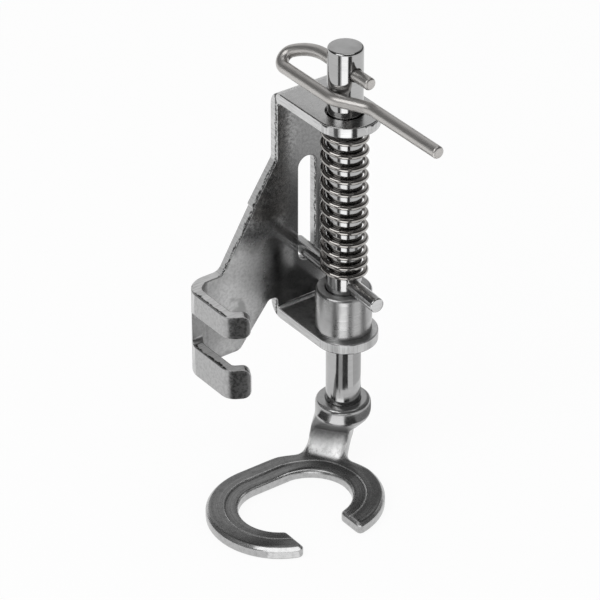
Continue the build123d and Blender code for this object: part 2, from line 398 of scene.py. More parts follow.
@dataclass(frozen=True)
class GroundSteel(Finish):
    """Centreless-ground and polished round steel, with faint rings, cloudy handling marks and satin ends."""

    rings_per_mm: float = 9.0
    round_per_mm: float = 0.2
    ring_octaves: float = 3.0
    ring_range: Span = (0.4, 0.8)
    ring_shade: float = 0.5
    ring_depth_mm: float = 0.0006
    clouds_per_mm: float = 0.35
    cloud_octaves: float = 4.0
    cloud_range: Span = (0.35, 0.75)
    cloud_shade: float = 0.5
    end_tilt: Span = (0.9, 0.98)
    end_dull: float = 0.2
    end_light: float = 0.5

    def paint(self, tree: ShaderTree) -> Coat:
        """Rings along the height, clouds all over, satin on the faced ends.

        Args:
            tree: the material's tree.

        Returns:
            Colour, roughness, normal and metallic share.
        """
        rings = tree.grain((self.round_per_mm, self.round_per_mm, self.rings_per_mm), self.ring_octaves)
        clouds = tree.grain(self.clouds_per_mm, self.cloud_octaves).ease(*self.cloud_range)
        end = tree.normal_axis(Axis.Z).ease(*self.end_tilt)
        share = clouds * self.cloud_shade + rings.ease(*self.ring_range) * self.ring_shade
        colour = tree.blend(end, self.shades(tree, share), self.shades(tree, clouds, self.end_light))
        rough = clouds * (self.dull - self.smooth) + self.smooth
        rough = rough + (rings - NOISE_MIDDLE) * self.smooth + end * self.end_dull
        return colour, rough, tree.bump(rings, self.ring_depth_mm), 1.0


class SheetZones(NamedTuple):
    """Where the sheet's plating and its painted light and shade differ: each is 1 inside the zone and 0
    outside.
    """

    # upper and tip carry painted shade, bright and level carry painted light, and polished carries a painted
    # dark reflection.
    upper: Sock
    rubbed: Sock
    bright: Sock
    polished: Sock
    tip: Sock
    level: Sock


@dataclass(frozen=True)
class TumbledNickel(Finish):
    """Nickel over tumbled sheet: satin on the fork, bright with stains beside it, where the brightness is
    painted light, and polished towards the rod, where a darker tone is a painted reflection.

    Higher up it is smoother and painted darker as shade, with a dark rubbed patch. The top flange is satin
    with a lighter tone of painted light, and the fork's tips are grainy and dark with painted shade.
    """

    pebbles_per_mm: float = 2.2
    pebble_octaves: float = 5.0
    pebble_weight: float = 0.6
    pebble_range: Span = (0.4, 0.64)
    pebble_quiet: float = 0.3
    pebble_dull: float = 0.14
    pebble_depth_mm: float = 0.006
    rolling_per_mm: Triple = (0.7, 0.7, 0.25)
    rolling_octaves: float = 2.0
    rolling_depth_mm: float = 0.003
    patches_per_mm: float = 0.16
    patch_octaves: float = 4.0
    limit_ease: float = 2.4 * MM
    limit_wander: float = 9.0 * MM
    upper_from: float = 0.0
    # Tone of the upper zone: painted shade. Its smoother finish is real.
    upper_painted_shade: float = 0.27
    upper_flattening: float = 0.5
    rubbed_left_of: float = 0.0
    rubbed_light: float = 0.42
    bright_right_of: float = 0.0
    # Tone of the bright zone: painted light, with real stains over it.
    bright_painted_light: float = 0.68
    stains_per_mm: float = 0.26
    stain_octaves: float = 4.0
    stain_weight: float = 0.6
    stain_range: Span = (0.48, 0.62)
    stain_depth: float = 0.7
    polished_right_of: float = 0.0
    polished_tilt: Span = (0.3, 0.8)
    # Tone of the polished zone: a painted dark reflection. Its lower roughness is real.
    polished_painted_reflection: float = 0.36
    polished_dull: float = 0.14
    polished_flattening: float = 0.85
    level_from: float = 0.0
    level_rise: float = 1.0 * MM
    level_tilt: Span = (0.8, 0.95)
    level_clearing: float = 0.8
    level_dull: float = 0.1
    # Tone of level tops: painted light. Their duller satin is real.
    level_painted_light: float = 0.52
    tips_before: float = 0.0
    tips_left_of: float = 0.0
    tip_ease: float = 0.3 * MM
    tip_pebbles: float = 2.0
    # Tone of the fork's tips: painted shade. Their coarser grain is real.
    tip_painted_shade: float = 0.27

    def zones(self, tree: ShaderTree) -> SheetZones:
        """Where the plating and its painted light and shade differ. The large zones have borders that wander.

        Args:
            tree: the material's tree.

        Returns:
            The zones.
        """
        wander = (tree.grain(self.patches_per_mm, self.patch_octaves) - NOISE_MIDDLE) * self.limit_wander
        side = tree.axis(Axis.X) + wander
        upper = (tree.axis(Axis.Z) + wander).past(self.upper_from, self.limit_ease)
        polished = side.past(self.polished_right_of, self.limit_ease) * (1.0 - upper)
        facing_up = tree.normal_axis(Axis.Z)
        on_top = tree.axis(Axis.Z).ease(self.level_from - self.level_rise, self.level_from)
        tip = tree.axis(Axis.Y).short_of(self.tips_before, self.tip_ease)
        return SheetZones(
            upper=upper,
            rubbed=upper * side.short_of(self.rubbed_left_of, self.limit_ease),
            bright=side.past(self.bright_right_of, self.limit_ease) * (1.0 - upper),
            polished=polished * facing_up.ease(*self.polished_tilt, 1.0, 0.0),
            tip=tip * tree.axis(Axis.X).short_of(self.tips_left_of, self.tip_ease),
            level=facing_up.ease(*self.level_tilt) * on_top,
        )

    def paint(self, tree: ShaderTree) -> Coat:
        """Pebbles over the sheet's faint rolling, with its own tone in each zone, most of these tones painted
        light or shade.

        Args:
            tree: the material's tree.

        Returns:
            Colour, roughness, normal and metallic share.
        """
        pebbles = tree.grain(self.pebbles_per_mm, self.pebble_octaves, self.pebble_weight)
        rolling = tree.grain(self.rolling_per_mm, self.rolling_octaves)
        stains = tree.grain(self.stains_per_mm, self.stain_octaves, self.stain_weight)
        zones = self.zones(tree)
        mottled = zones.rubbed.most(zones.tip) * (1.0 - self.pebble_quiet) + self.pebble_quiet
        share = pebbles.ease(*self.pebble_range) * mottled * (1.0 - zones.level * self.level_clearing)
        share = share.most(stains.ease(*self.stain_range) * zones.bright * self.stain_depth)
        colour = self.shades(tree, share)
        # Zone tones: painted light on the bright zone and level tops, painted shade on the upper zone and the
        # fork's tips, a painted dark reflection on the polished zone.
        for zone, light in (
            (zones.bright, self.bright_painted_light),
            (zones.polished, self.polished_painted_reflection),
            (zones.upper, self.upper_painted_shade),
            (zones.rubbed, self.rubbed_light),
            (zones.tip, self.tip_painted_shade),
            (zones.level, self.level_painted_light),
        ):
            colour = tree.blend(zone, colour, self.shades(tree, share, light))
        rough = self.dull - zones.upper * (self.dull - self.smooth) + zones.level * self.level_dull
        rough = rough + (pebbles - NOISE_MIDDLE) * self.pebble_dull
        rough = rough - zones.polished * (self.dull - self.polished_dull)
        height = 1.0 + zones.tip * self.tip_pebbles - zones.upper * self.upper_flattening
        height = height - zones.polished * self.polished_flattening
        relief = tree.bump(rolling, self.rolling_depth_mm)
        return colour, rough, tree.bump(pebbles * height, self.pebble_depth_mm, relief), 1.0


@dataclass(frozen=True)
class ShearedEdge(Finish):
    """The blanked edge of the sheet: scored across its thickness, with a torn dark line near one face."""

    along: Axis = Axis.Y
    torn_at: float = 0.0
    torn_width: float = 0.6 * MM
    torn_range: Span = (0.2, 0.5)
    torn_dark: float = 0.05
    wander_per_mm: float = 0.9
    wander_octaves: float = 3.0
    wander_widths: float = 2.0
    crumbs_per_mm: float = 2.6
    crumb_octaves: float = 4.0
    crumb_weight: float = 0.75
    crumb_ease: float = 0.04
    crumbling: float = 0.5
    scores_per_mm: float = 4.5
    run_per_mm: float = 0.35
    score_octaves: float = 4.0
    score_weight: float = 0.65
    score_range: Span = (0.42, 0.7)
    score_shade: float = 0.7
    score_depth_mm: float = 0.003
    metal: float = 0.6

    def paint(self, tree: ShaderTree) -> Coat:
        """Scores across the sheet, and the torn line.

        Args:
            tree: the material's tree.

        Returns:
            Colour, roughness, normal and metallic share.
        """
        fineness = [self.scores_per_mm] * 3
        fineness[self.along.value] = self.run_per_mm
        scores = tree.grain(tuple(fineness), self.score_octaves, self.score_weight)
        crumbs = tree.grain(self.crumbs_per_mm, self.crumb_octaves, self.crumb_weight)
        wander = tree.grain(self.wander_per_mm, self.wander_octaves) - NOISE_MIDDLE
        line = wander * (self.torn_width * self.wander_widths)
        from_line = abs(tree.axis(self.along) - self.torn_at + line)
        near, far = (share * self.torn_width for share in self.torn_range)
        torn = from_line.ease(near, far, 1.0, 0.0) * crumbs.past(self.crumbling, self.crumb_ease)
        shade = self.shades(tree, scores.ease(*self.score_range) * self.score_shade)
        colour = tree.blend(torn, shade, tone(self.dark * self.torn_dark))
        rough = scores * (self.dull - self.smooth) + self.smooth
        return colour, rough, tree.bump(scores - torn, self.score_depth_mm), self.metal


@dataclass(frozen=True)
class CastNickel(Finish):
    """Nickel over a casting: brushed round the ring, with painted shade on its top and a painted highlight at
    the land's edge; grainy and pale on the neck, where the pale tone is painted light and a painted shade
    deepens towards the boss; polished on the boss.
    """

    lines_per_mm: float = 3.2
    line_octaves: float = 5.0
    line_range: Span = (0.3, 0.7)
    line_shade: float = 0.7
    line_wander: float = 3.0
    wander_per_mm: float = 0.12
    wander_octaves: float = 2.0
    brush_depth_mm: float = 0.006
    specks_per_mm: float = 1.7
    speck_octaves: float = 4.0
    speck_weight: float = 0.65
    speck_range: Span = (0.45, 0.7)
    speck_shade: float = 0.4
    speck_dull: float = 0.2
    speck_depth_mm: float = 0.008
    waves_per_mm: float = 0.28
    wave_octaves: float = 1.0
    wave_depth_mm: float = 0.012
    metal: float = 0.9
    upward_tilt: Span = (0.75, 0.95)
    ring_x: float = 0.0
    ring_y: float = 0.0
    ring_straight: float = 0.0
    # Tone of the ring's upward faces: painted shade.
    ring_painted_shade: float = 0.24
    land_edge: float = 0.0
    land_line: float = 0.16 * MM
    # Tone of the line at the land's edge: a painted highlight.
    land_painted_highlight: float = 0.8
    neck_from: float = 0.0
    neck_to: float = 0.0
    neck_turn: float = 0.0
    neck_facing: Span = (0.45, 0.65)
    neck_ease: float = 0.5 * MM
    neck_clear: float = 0.6 * MM
    neck_ragged: float = 1.0 * MM
    # Pale tone of the neck's broad face: painted light.
    neck_painted_light: float = 1.0
    # Dark tone of the neck's pitting and of its painted shade.
    neck_dark: float = 0.16
    neck_pits: float = 0.34
    pit_range: Span = (0.44, 0.62)
    neck_specks: float = 2.0
    neck_dull: float = 0.42
    neck_metal: float = 0.45
    boss_from: float = 0.0
    boss_ease: Span = (-0.4 * MM, 0.2 * MM)
    boss_smooth: float = 0.23
    boss_light: float = 0.4

    def paint(self, tree: ShaderTree) -> Coat:
        """Brushing on what faces up, painted shade on the ring's top with a painted highlight line at the
        land's edge, a grainy skin, a neck in painted light whose painted shade deepens under the boss, and a
        smooth boss.

        Args:
            tree: the material's tree.

        Returns:
            Colour, roughness, normal and metallic share.
        """
        out = self.from_opening(tree)
        lines = self.ring_lines(tree, out)
        specks = tree.grain(self.specks_per_mm, self.speck_octaves, self.speck_weight)
        waves = tree.grain(self.waves_per_mm, self.wave_octaves)
        height = tree.axis(Axis.Z)
        boss = height.ease(*(self.boss_from + offset for offset in self.boss_ease))
        below = 1.0 - boss
        upward = tree.normal_axis(Axis.Z).ease(*self.upward_tilt) * below
        neck = self.neck_face(tree) * height.ease(self.neck_from, self.neck_from + self.neck_ease) * below
        share = upward * lines.ease(*self.line_range) * self.line_shade
        share = share + specks.ease(*self.speck_range) * below * self.speck_shade
        # A painted highlight along the land's edge, on the ring's top with its painted shade.
        line = tree.band(out, self.land_edge, self.land_line)
        land = self.shades(tree, share, self.land_painted_highlight)
        colour = tree.blend(upward, self.shades(tree, share),
                            tree.blend(line, self.shades(tree, share, self.ring_painted_shade), land))
        # The neck's painted light, pitted, with painted shade towards the boss.
        colour = tree.blend(neck, colour, self.neck_colour(tree, specks, height))
        colour = tree.blend(boss, colour, tone(self.boss_light))
        rough = upward * (self.dull - self.smooth) + self.smooth + (specks - NOISE_MIDDLE) * self.speck_dull
        rough = rough - boss * (self.smooth - self.boss_smooth) + neck * (self.neck_dull - self.smooth)
        skin = tree.bump(waves, self.wave_depth_mm)
        skin = tree.bump(specks * (below + neck * self.neck_specks), self.speck_depth_mm, skin)
        metal = self.metal - neck * (self.metal - self.neck_metal)
        return colour, rough, tree.bump(lines * upward, self.brush_depth_mm, skin), metal

    def neck_face(self, tree: ShaderTree) -> Sock:
        """Where the surface faces the way that the neck's broad side does.

        Args:
            tree: the material's tree.

        Returns:
            1 on that side, 0 elsewhere.
        """
        turn = radians(self.neck_turn)
        ahead = tree.normal_axis(Axis.X) * -cos(turn) - tree.normal_axis(Axis.Y) * sin(turn)
        return ahead.ease(*self.neck_facing)

    def neck_colour(self, tree: ShaderTree, specks: Sock, height: Sock) -> Sock:
        """The neck's colour: a pale tone of painted light, pitted low down, with painted shade that deepens
        towards the boss.

        Args:
            tree: the material's tree.
            specks: the casting's grain.
            height: the point's height.

        Returns:
            The colour.
        """
        ragged = height + (specks - NOISE_MIDDLE) * self.neck_ragged
        # Painted shade, deepening up the neck towards the boss.
        climb = ragged.ease(self.neck_from + self.neck_clear, self.neck_to)
        pits_and_shade = climb.most(specks.ease(*self.pit_range) * self.neck_pits)
        return tree.blend(pits_and_shade, tone(self.neck_painted_light), tone(self.neck_dark))

    def from_opening(self, tree: ShaderTree) -> Sock:
        """Distance from the ring's middle line, which is straight between its two round ends.

        Args:
            tree: the material's tree.

        Returns:
            The distance, in metres.
        """
        past_straight = (abs(tree.axis(Axis.X) - self.ring_x) - self.ring_straight / 2).most(0.0)
        across = tree.axis(Axis.Y) - self.ring_y
        return (past_straight * past_straight + across * across) ** 0.5

    def ring_lines(self, tree: ShaderTree, out: Sock) -> Sock:
        """Fine lines that follow the ring's outline.

        Args:
            tree: the material's tree.
            out: distance from the ring's middle line.

        Returns:
            The lines, about 0.3 to 0.7.
        """
        wander = tree.grain(self.wander_per_mm, self.wander_octaves) * self.line_wander
        line = tree.add("ShaderNodeCombineXYZ", inputs={0: out * (self.lines_per_mm / MM), 1: wander})
        return tree.noise(line, self.line_octaves)


@dataclass(frozen=True)
class DrawnWire(Finish):
    """Drawn wire: fine lines along its length and a cloudy dullness."""

    lines_round: float = 26.0
    line_run_per_mm: float = 0.25
    line_octaves: float = 4.0
    line_range: Span = (0.4, 0.7)
    line_shade: float = 0.6
    line_dull: float = 0.1
    line_depth_mm: float = 0.003
    clouds_per_mm: float = 0.5
    cloud_octaves: float = 4.0
    cloud_range: Span = (0.45, 0.7)
    cloud_shade: float = 0.4
    metal: float = 1.0

    def paint(self, tree: ShaderTree) -> Coat:
        """Lines that follow the wire by its own length and girth.

        Args:
            tree: the material's tree.

        Returns:
            Colour, roughness, normal and metallic share.
        """
        length = tree.add("ShaderNodeAttribute", {"attribute_name": LENGTH}, out="Fac")
        girth = tree.add("ShaderNodeAttribute", {"attribute_name": GIRTH}, out="Fac")
        run = {0: girth * self.lines_round, 1: length * (self.line_run_per_mm / MM)}
        lines = tree.noise(tree.add("ShaderNodeCombineXYZ", inputs=run), self.line_octaves)
        clouds = tree.grain(self.clouds_per_mm, self.cloud_octaves)
        share = lines.ease(*self.line_range) * self.line_shade
        share = share + clouds.ease(*self.cloud_range) * self.cloud_shade
        rough = clouds * (self.dull - self.smooth) + self.smooth + (lines - NOISE_MIDDLE) * self.line_dull
        return self.shades(tree, share), rough, tree.bump(lines, self.line_depth_mm), self.metal


ROD_STEEL = GroundSteel("ground_rod_steel", light=0.45, dark=0.38, smooth=0.08, dull=0.16)
BUSH_STEEL = GroundSteel(
    "turned_bush_steel", light=0.46, dark=0.36, smooth=0.28, dull=0.38, ring_depth_mm=0.0015)
PIN_STEEL = GroundSteel("pin_steel", light=0.6, dark=0.46, smooth=0.16, dull=0.26)
NOSE_STEEL = GroundSteel(
    "rubbed_nose_steel", light=0.52, dark=0.36, smooth=0.1, dull=0.2, ring_depth_mm=0.002)
SPRING_STEEL = DrawnWire("dark_spring_wire", light=0.42, dark=0.28, warmth=0.04, smooth=0.08, dull=0.14)
CLIP_NICKEL = DrawnWire(
    "satin_clip_wire", light=0.54, dark=0.44, warmth=0.03, smooth=0.32, dull=0.42, metal=0.92)


def link(name: str, mesh: bpy.types.Mesh) -> bpy.types.Object:
    """Put a mesh into the scene as an object at the origin.

    Args:
        name: the object's name.
        mesh: its mesh, in the shared frame.

    Returns:
        The object.
    """
    made = bpy.data.objects.new(name, mesh)
    bpy.context.scene.collection.objects.link(made)
    return made


def mount(piece: bpy.types.Object, node: str, body: Body) -> bpy.types.Object:
    """Let a finished piece stand for its CAD node.

    Args:
        piece: the finished object.
        node: the node that it replaces.
        body: what it moves with.

    Returns:
        The same piece.
    """
    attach(piece, body.value)
    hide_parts(node)
    LOG.info("%s: %d faces, stands for %s", piece.name, len(piece.data.polygons), node)
    return piece


def settle(piece: bpy.types.Object) -> bpy.types.Object:
    """Apply an object's modifiers to its mesh.

    Args:
        piece: the object.

    Returns:
        The object with a plain mesh and no modifier.
    """
    graph = bpy.context.evaluated_depsgraph_get()
    old = piece.data
    mesh = bpy.data.meshes.new_from_object(piece.evaluated_get(graph))
    piece.modifiers.clear()
    piece.data = mesh
    bpy.data.meshes.remove(old)
    return piece


def merged_copy(node: str) -> bmesh.types.BMesh:
    """Copy a CAD node's mesh with its loose triangles joined and its flat faces made whole.

    Args:
        node: the node's name.

    Returns:
        The joined mesh, ready to be worked on.
    """
    work = bmesh.new()
    work.from_mesh(frame["nodes"][node].data)
    bmesh.ops.remove_doubles(work, verts=work.verts, dist=WELD)
    bmesh.ops.dissolve_limit(work, angle_limit=radians(FLAT_ANGLE), verts=work.verts, edges=work.edges)
    return work


def mesh_from(work: bmesh.types.BMesh, name: str) -> bpy.types.Mesh:
    """Turn worked geometry into a smooth-shaded mesh.

    Args:
        work: the geometry, which is freed.
        name: the mesh's name.

    Returns:
        The mesh.
    """
    mesh = bpy.data.meshes.new(name)
    work.to_mesh(mesh)
    work.free()
    mesh.polygons.foreach_set("use_smooth", [True] * len(mesh.polygons))
    return mesh


def weigh_normals(piece: bpy.types.Object) -> None:
    """Let large faces keep their own direction, so that flats beside a rounded edge stay flat.

    Args:
        piece: the object.
    """
    weighted = piece.modifiers.new("weighted", "WEIGHTED_NORMAL")
    weighted.keep_sharp = True
    settle(piece)


def lathe(profile: list[Span], centre: Vector, sides: int = 192) -> bmesh.types.BMesh:
    """Turn a profile about the vertical through a point.

    Args:
        profile: radius and height of each point, from the bottom up. A radius of 0 closes an end.
        centre: point on the axis that the heights start from.
        sides: steps round the axis.

    Returns:
        The turned shape, closed if the profile is.
    """
    work = bmesh.new()
    turns = [2 * pi * step / sides for step in range(sides)]
    rings = []
    for radius, height in profile:
        if radius == 0:
            rings.append([work.verts.new(centre + Vector((0, 0, height)))])
            continue
        places = [centre + Vector((radius * cos(turn), radius * sin(turn), height)) for turn in turns]
        rings.append([work.verts.new(place) for place in places])
    for low, high in zip(rings, rings[1:]):
        for step in range(sides):
            after = (step + 1) % sides
            lower = [low[step % len(low)], low[after % len(low)]]
            upper = [high[after % len(high)], high[step % len(high)]]
            work.faces.new(list(dict.fromkeys(lower + upper)))
    bmesh.ops.recalc_face_normals(work, faces=work.faces)
    return work


def rounded(corner: Span, radius: float, start: float, steps: int = 5) -> list[Span]:
    """Points of a quarter round in a turned profile, anticlockwise.

    Args:
        corner: centre of the round, as radius and height.
        radius: of the round.
        start: direction of its first point, in degrees from outwards.
        steps: number of steps.

    Returns:
        The points.
    """
    turns = [radians(start + 90 * step / steps) for step in range(steps + 1)]
    return [(corner[0] + radius * cos(t), corner[1] + radius * sin(t)) for t in turns]


def drill(piece: bpy.types.Object, start: Vector, end: Vector, radius: float, sides: int = 96) -> None:
    """Cut a round hole through a piece.

    Args:
        piece: the object to cut.
        start: one end of the drill's axis.
        end: the other.
        radius: the hole's.
        sides: steps round the hole.
    """
    work = bmesh.new()
    length = (end - start).length
    bmesh.ops.create_cone(work, cap_ends=True, segments=sides, radius1=radius, radius2=radius, depth=length)
    turn = (end - start).to_track_quat("Z", "Y").to_matrix().to_4x4()
    bmesh.ops.transform(work, matrix=Matrix.Translation((start + end) / 2) @ turn, verts=work.verts)
    cutter = link("drill", mesh_from(work, "drill"))
    cut = piece.modifiers.new("hole", "BOOLEAN")
    cut.object = cutter
    cut.operation = "DIFFERENCE"
    cut.solver = "EXACT"
    settle(piece)
    bpy.data.objects.remove(cutter)


@dataclass
class SheetBracket:
    """The folded bracket, with its blanked edges rolled over and its sheared faces left scored."""

    sheet: float = 1.6 * MM
    edge_roll: float = 0.16 * MM
    roll_steps: int = 3
    sharp_angle: float = 32.0
    fork_sheets: float = 2.0
    plate_sheets: float = 1.4
    cut_tilt: float = 0.25
    torn_share: float = 0.12
    plate_torn_share: float = 0.8
    crumbling: float = 0.38
    plate_crumbling: float = 0.46
    # Borders of the plating's zones, most of which carry painted light or shade.
    bright_inset: float = 5.5 * MM
    rubbed_inset: float = 2.9 * MM
    shade_and_rub_drop: float = 3.2 * MM
    polish_inset: float = 6.6 * MM
    tip_depth: float = 5.2 * MM
    tip_width: float = 2.55 * MM
    nose_turn: float = -36.11
    nose_spread: float = 31.0
    lower: Vector = field(default_factory=lambda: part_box("bracket")[0])
    upper: Vector = field(default_factory=lambda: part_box("bracket")[1])

    def build(self) -> bpy.types.Object:
        """Copy the folded sheet and round its edges.

        Returns:
            The bracket.
        """
        work = merged_copy("bracket")
        sharp = [edge for edge in work.edges if len(edge.link_faces) == 2
                 and edge.calc_face_angle() > radians(self.sharp_angle)]
        bmesh.ops.bevel(work, geom=sharp, offset=self.edge_roll, offset_type="OFFSET", profile=0.5,
                        segments=self.roll_steps, affect="EDGES", clamp_overlap=False)
        piece = link("bracket_sheet", mesh_from(work, "bracket_sheet"))
        weigh_normals(piece)
        return piece

    def across(self, centre: Vector) -> Axis:
        """Which way the sheet's thickness runs at a point.

        Args:
            centre: a point of the sheet.

        Returns:
            The direction across the sheet.
        """
        fork = self.fork_sheets * self.sheet
        if centre.x < self.lower.x + fork and centre.y < self.upper.y - fork:
            return Axis.X
        if centre.y < self.upper.y - self.plate_sheets * self.sheet:
            return Axis.Z
        return Axis.Y

    def skin(self) -> TumbledNickel:
        """The plating, with its zones of painted light and shade placed on the bracket.

        Returns:
            The finish.
        """
        rod = PlungerRod()
        return TumbledNickel(
            "tumbled_nickel", light=0.46, dark=0.2, smooth=0.18, dull=0.36,
            bright_right_of=self.lower.x + self.bright_inset,
            upper_from=(self.lower.z + self.upper.z) / 2 - self.shade_and_rub_drop,
            rubbed_left_of=rod.axis_at(0).x - self.rubbed_inset,
            polished_right_of=rod.axis_at(0).x - self.polish_inset,
            level_from=self.upper.z - self.sheet,
            tips_before=self.lower.y + self.tip_depth,
            tips_left_of=self.lower.x + self.tip_width,
        )

    def rubbed_nose(self, face: bpy.types.MeshPolygon) -> bool:
        """Whether a face lies on the polished front of the top flange's nose.

        Args:
            face: a face of the bracket.

        Returns:
            True on that spot.
        """
        turn = radians(self.nose_turn)
        ahead = face.normal.dot(Vector((sin(turn), -cos(turn), 0)))
        return face.center.z > self.upper.z - self.sheet and ahead > cos(radians(self.nose_spread))

    def dress(self, piece: bpy.types.Object) -> None:
        """Give the faces their plated skin and the cut edges their scores.

        Args:
            piece: the bracket.
        """
        torn = {
            Axis.X: self.lower.x + self.sheet * self.torn_share,
            Axis.Y: self.upper.y - self.sheet * self.plate_torn_share,
            Axis.Z: self.upper.z - self.sheet * self.torn_share,
        }
        piece.data.materials.clear()
        piece.data.materials.append(self.skin().material())
        for way in Axis:
            cut = ShearedEdge(
                f"sheared_edge_{way.name.lower()}", light=0.66, dark=0.42, smooth=0.35, dull=0.55,
                along=way,
                torn_at=torn[way],
                crumbling=self.plate_crumbling if way is Axis.Y else self.crumbling,
            )
            piece.data.materials.append(cut.material())
        piece.data.materials.append(NOSE_STEEL.material())
        nose = len(Axis) + 1
        for face in piece.data.polygons:
            way = self.across(face.center)
            face.material_index = 0
            if abs(face.normal[way.value]) < self.cut_tilt:
                face.material_index = nose if self.rubbed_nose(face) else 1 + way.value

    def make(self) -> bpy.types.Object:
        """Build, dress and mount the bracket.

        Returns:
            The bracket.
        """
        piece = self.build()
        self.dress(piece)
        return mount(piece, "bracket", Body.BRACKET)


@dataclass
class PlungerRod:
    """The plunger's ground rod, with the holes for the wire and the pin."""

    edge: float = 0.32 * MM
    wire_play: float = 0.15 * MM
    sharp_angle: float = 40.0
    lower: Vector = field(default_factory=lambda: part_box("plunger_rod")[0])
    upper: Vector = field(default_factory=lambda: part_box("plunger_rod")[1])

    def axis_at(self, height: float) -> Vector:
        """The point on the rod's axis at a height."""
        middle = (self.lower + self.upper) / 2
        return Vector((middle.x, middle.y, height))

    def build(self) -> bpy.types.Object:
        """Turn the rod and drill it.

        Returns:
            The rod.
        """
        radius = (self.upper.x - self.lower.x) / 2
        length = self.upper.z - self.lower.z
        top = rounded((radius - self.edge, length - self.edge), self.edge, 0)
        work = lathe([(0, 0), (radius, 0), *top, (0, length)], self.axis_at(self.lower.z))
        piece = link("rod_ground", mesh_from(work, "rod_ground"))
        wire = LifterWire()
        reach = Vector((0, 2 * radius, 0))
        through = self.axis_at(wire.leg_height)
        drill(piece, through - reach, through + reach, wire.radius + self.wire_play)
        pin = CrossPin()
        drill(piece, *pin.ends(), pin.radius)
        piece.data.set_sharp_from_angle(angle=radians(self.sharp_angle))
        return piece

    def make(self) -> bpy.types.Object:
        """Build, dress and mount the rod.

        Returns:
            The rod.
        """
        piece = self.build()
        piece.data.materials.clear()
        piece.data.materials.append(ROD_STEEL.material())
        return mount(piece, "plunger_rod", Body.PLUNGER)


@dataclass
class CrossPin:
    """The pin through the rod, whose rear end runs in the plate's slot."""

    edge: float = 0.2 * MM
    sides: int = 96
    lower: Vector = field(default_factory=lambda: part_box("cross_pin")[0])
    upper: Vector = field(default_factory=lambda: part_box("cross_pin")[1])

    @property
    def radius(self) -> float:
        """Half the pin's thickness."""
        return (self.upper.z - self.lower.z) / 2

    def ends(self) -> tuple[Vector, Vector]:
        """The middles of the pin's front and rear faces.

        Returns:
            Front and rear.
        """
        span = self.upper - self.lower
        lean = acos(2 * self.radius / span.xy.length) - atan2(span.y, span.x)
        inset = self.radius * Vector((cos(lean), abs(sin(lean)), 1))
        front = Vector((*(self.lower + inset).xy, self.lower.z + self.radius))
        rear = Vector((*(self.upper - inset).xy, self.lower.z + self.radius))
        return front, rear

    def make(self) -> bpy.types.Object:
        """Turn the pin, lay it along its hole, dress and mount it.

        Returns:
            The pin.
        """
        front, rear = self.ends()
        length = (rear - front).length
        low = rounded((self.radius - self.edge, self.edge), self.edge, -90)
        high = rounded((self.radius - self.edge, length - self.edge), self.edge, 0)
        work = lathe([(0, 0), *low, *high, (0, length)], Vector(), self.sides)
        turn = (rear - front).to_track_quat("Z", "Y").to_matrix().to_4x4()
        bmesh.ops.transform(work, matrix=Matrix.Translation(front) @ turn, verts=work.verts)
        piece = link("pin_turned", mesh_from(work, "pin_turned"))
        weigh_normals(piece)
        piece.data.materials.append(PIN_STEEL.material())
        return mount(piece, "cross_pin", Body.PLUNGER)


@dataclass
class GuideBush:
    """The turned bush that guides the rod in the lower flange."""

    edge: float = 0.5 * MM
    mouth_edge: float = 0.25 * MM
    bore_play: float = 0.06 * MM
    spigot_inset: float = 0.7 * MM
    spigot_length: float = 1.6 * MM
    sharp_angle: float = 50.0
    lower: Vector = field(default_factory=lambda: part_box("guide_bush")[0])
    upper: Vector = field(default_factory=lambda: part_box("guide_bush")[1])

    def make(self) -> bpy.types.Object:
        """Turn the bush, dress and mount it.

        Returns:
            The bush.
        """
        rod = PlungerRod()
        bore = (rod.upper.x - rod.lower.x) / 2 + self.bore_play
        radius = (self.upper.x - self.lower.x) / 2
        height = self.upper.z - self.lower.z
        spigot = radius - self.spigot_inset
        outer = rounded((radius - self.edge, height - self.edge), self.edge, 0)
        mouth = rounded((bore + self.mouth_edge, height - self.mouth_edge), self.mouth_edge, 90)
        seat = self.spigot_length
        profile = [(bore, 0), (spigot, 0), (spigot, seat), (radius, seat), *outer, *mouth, (bore, 0)]
        work = lathe(profile, rod.axis_at(self.lower.z))
        bmesh.ops.remove_doubles(work, verts=work.verts, dist=WELD)
        piece = link("bush_turned", mesh_from(work, "bush_turned"))
        piece.data.set_sharp_from_angle(angle=radians(self.sharp_angle))
        weigh_normals(piece)
        piece.data.materials.append(BUSH_STEEL.material())
        return mount(piece, "guide_bush", Body.BRACKET)


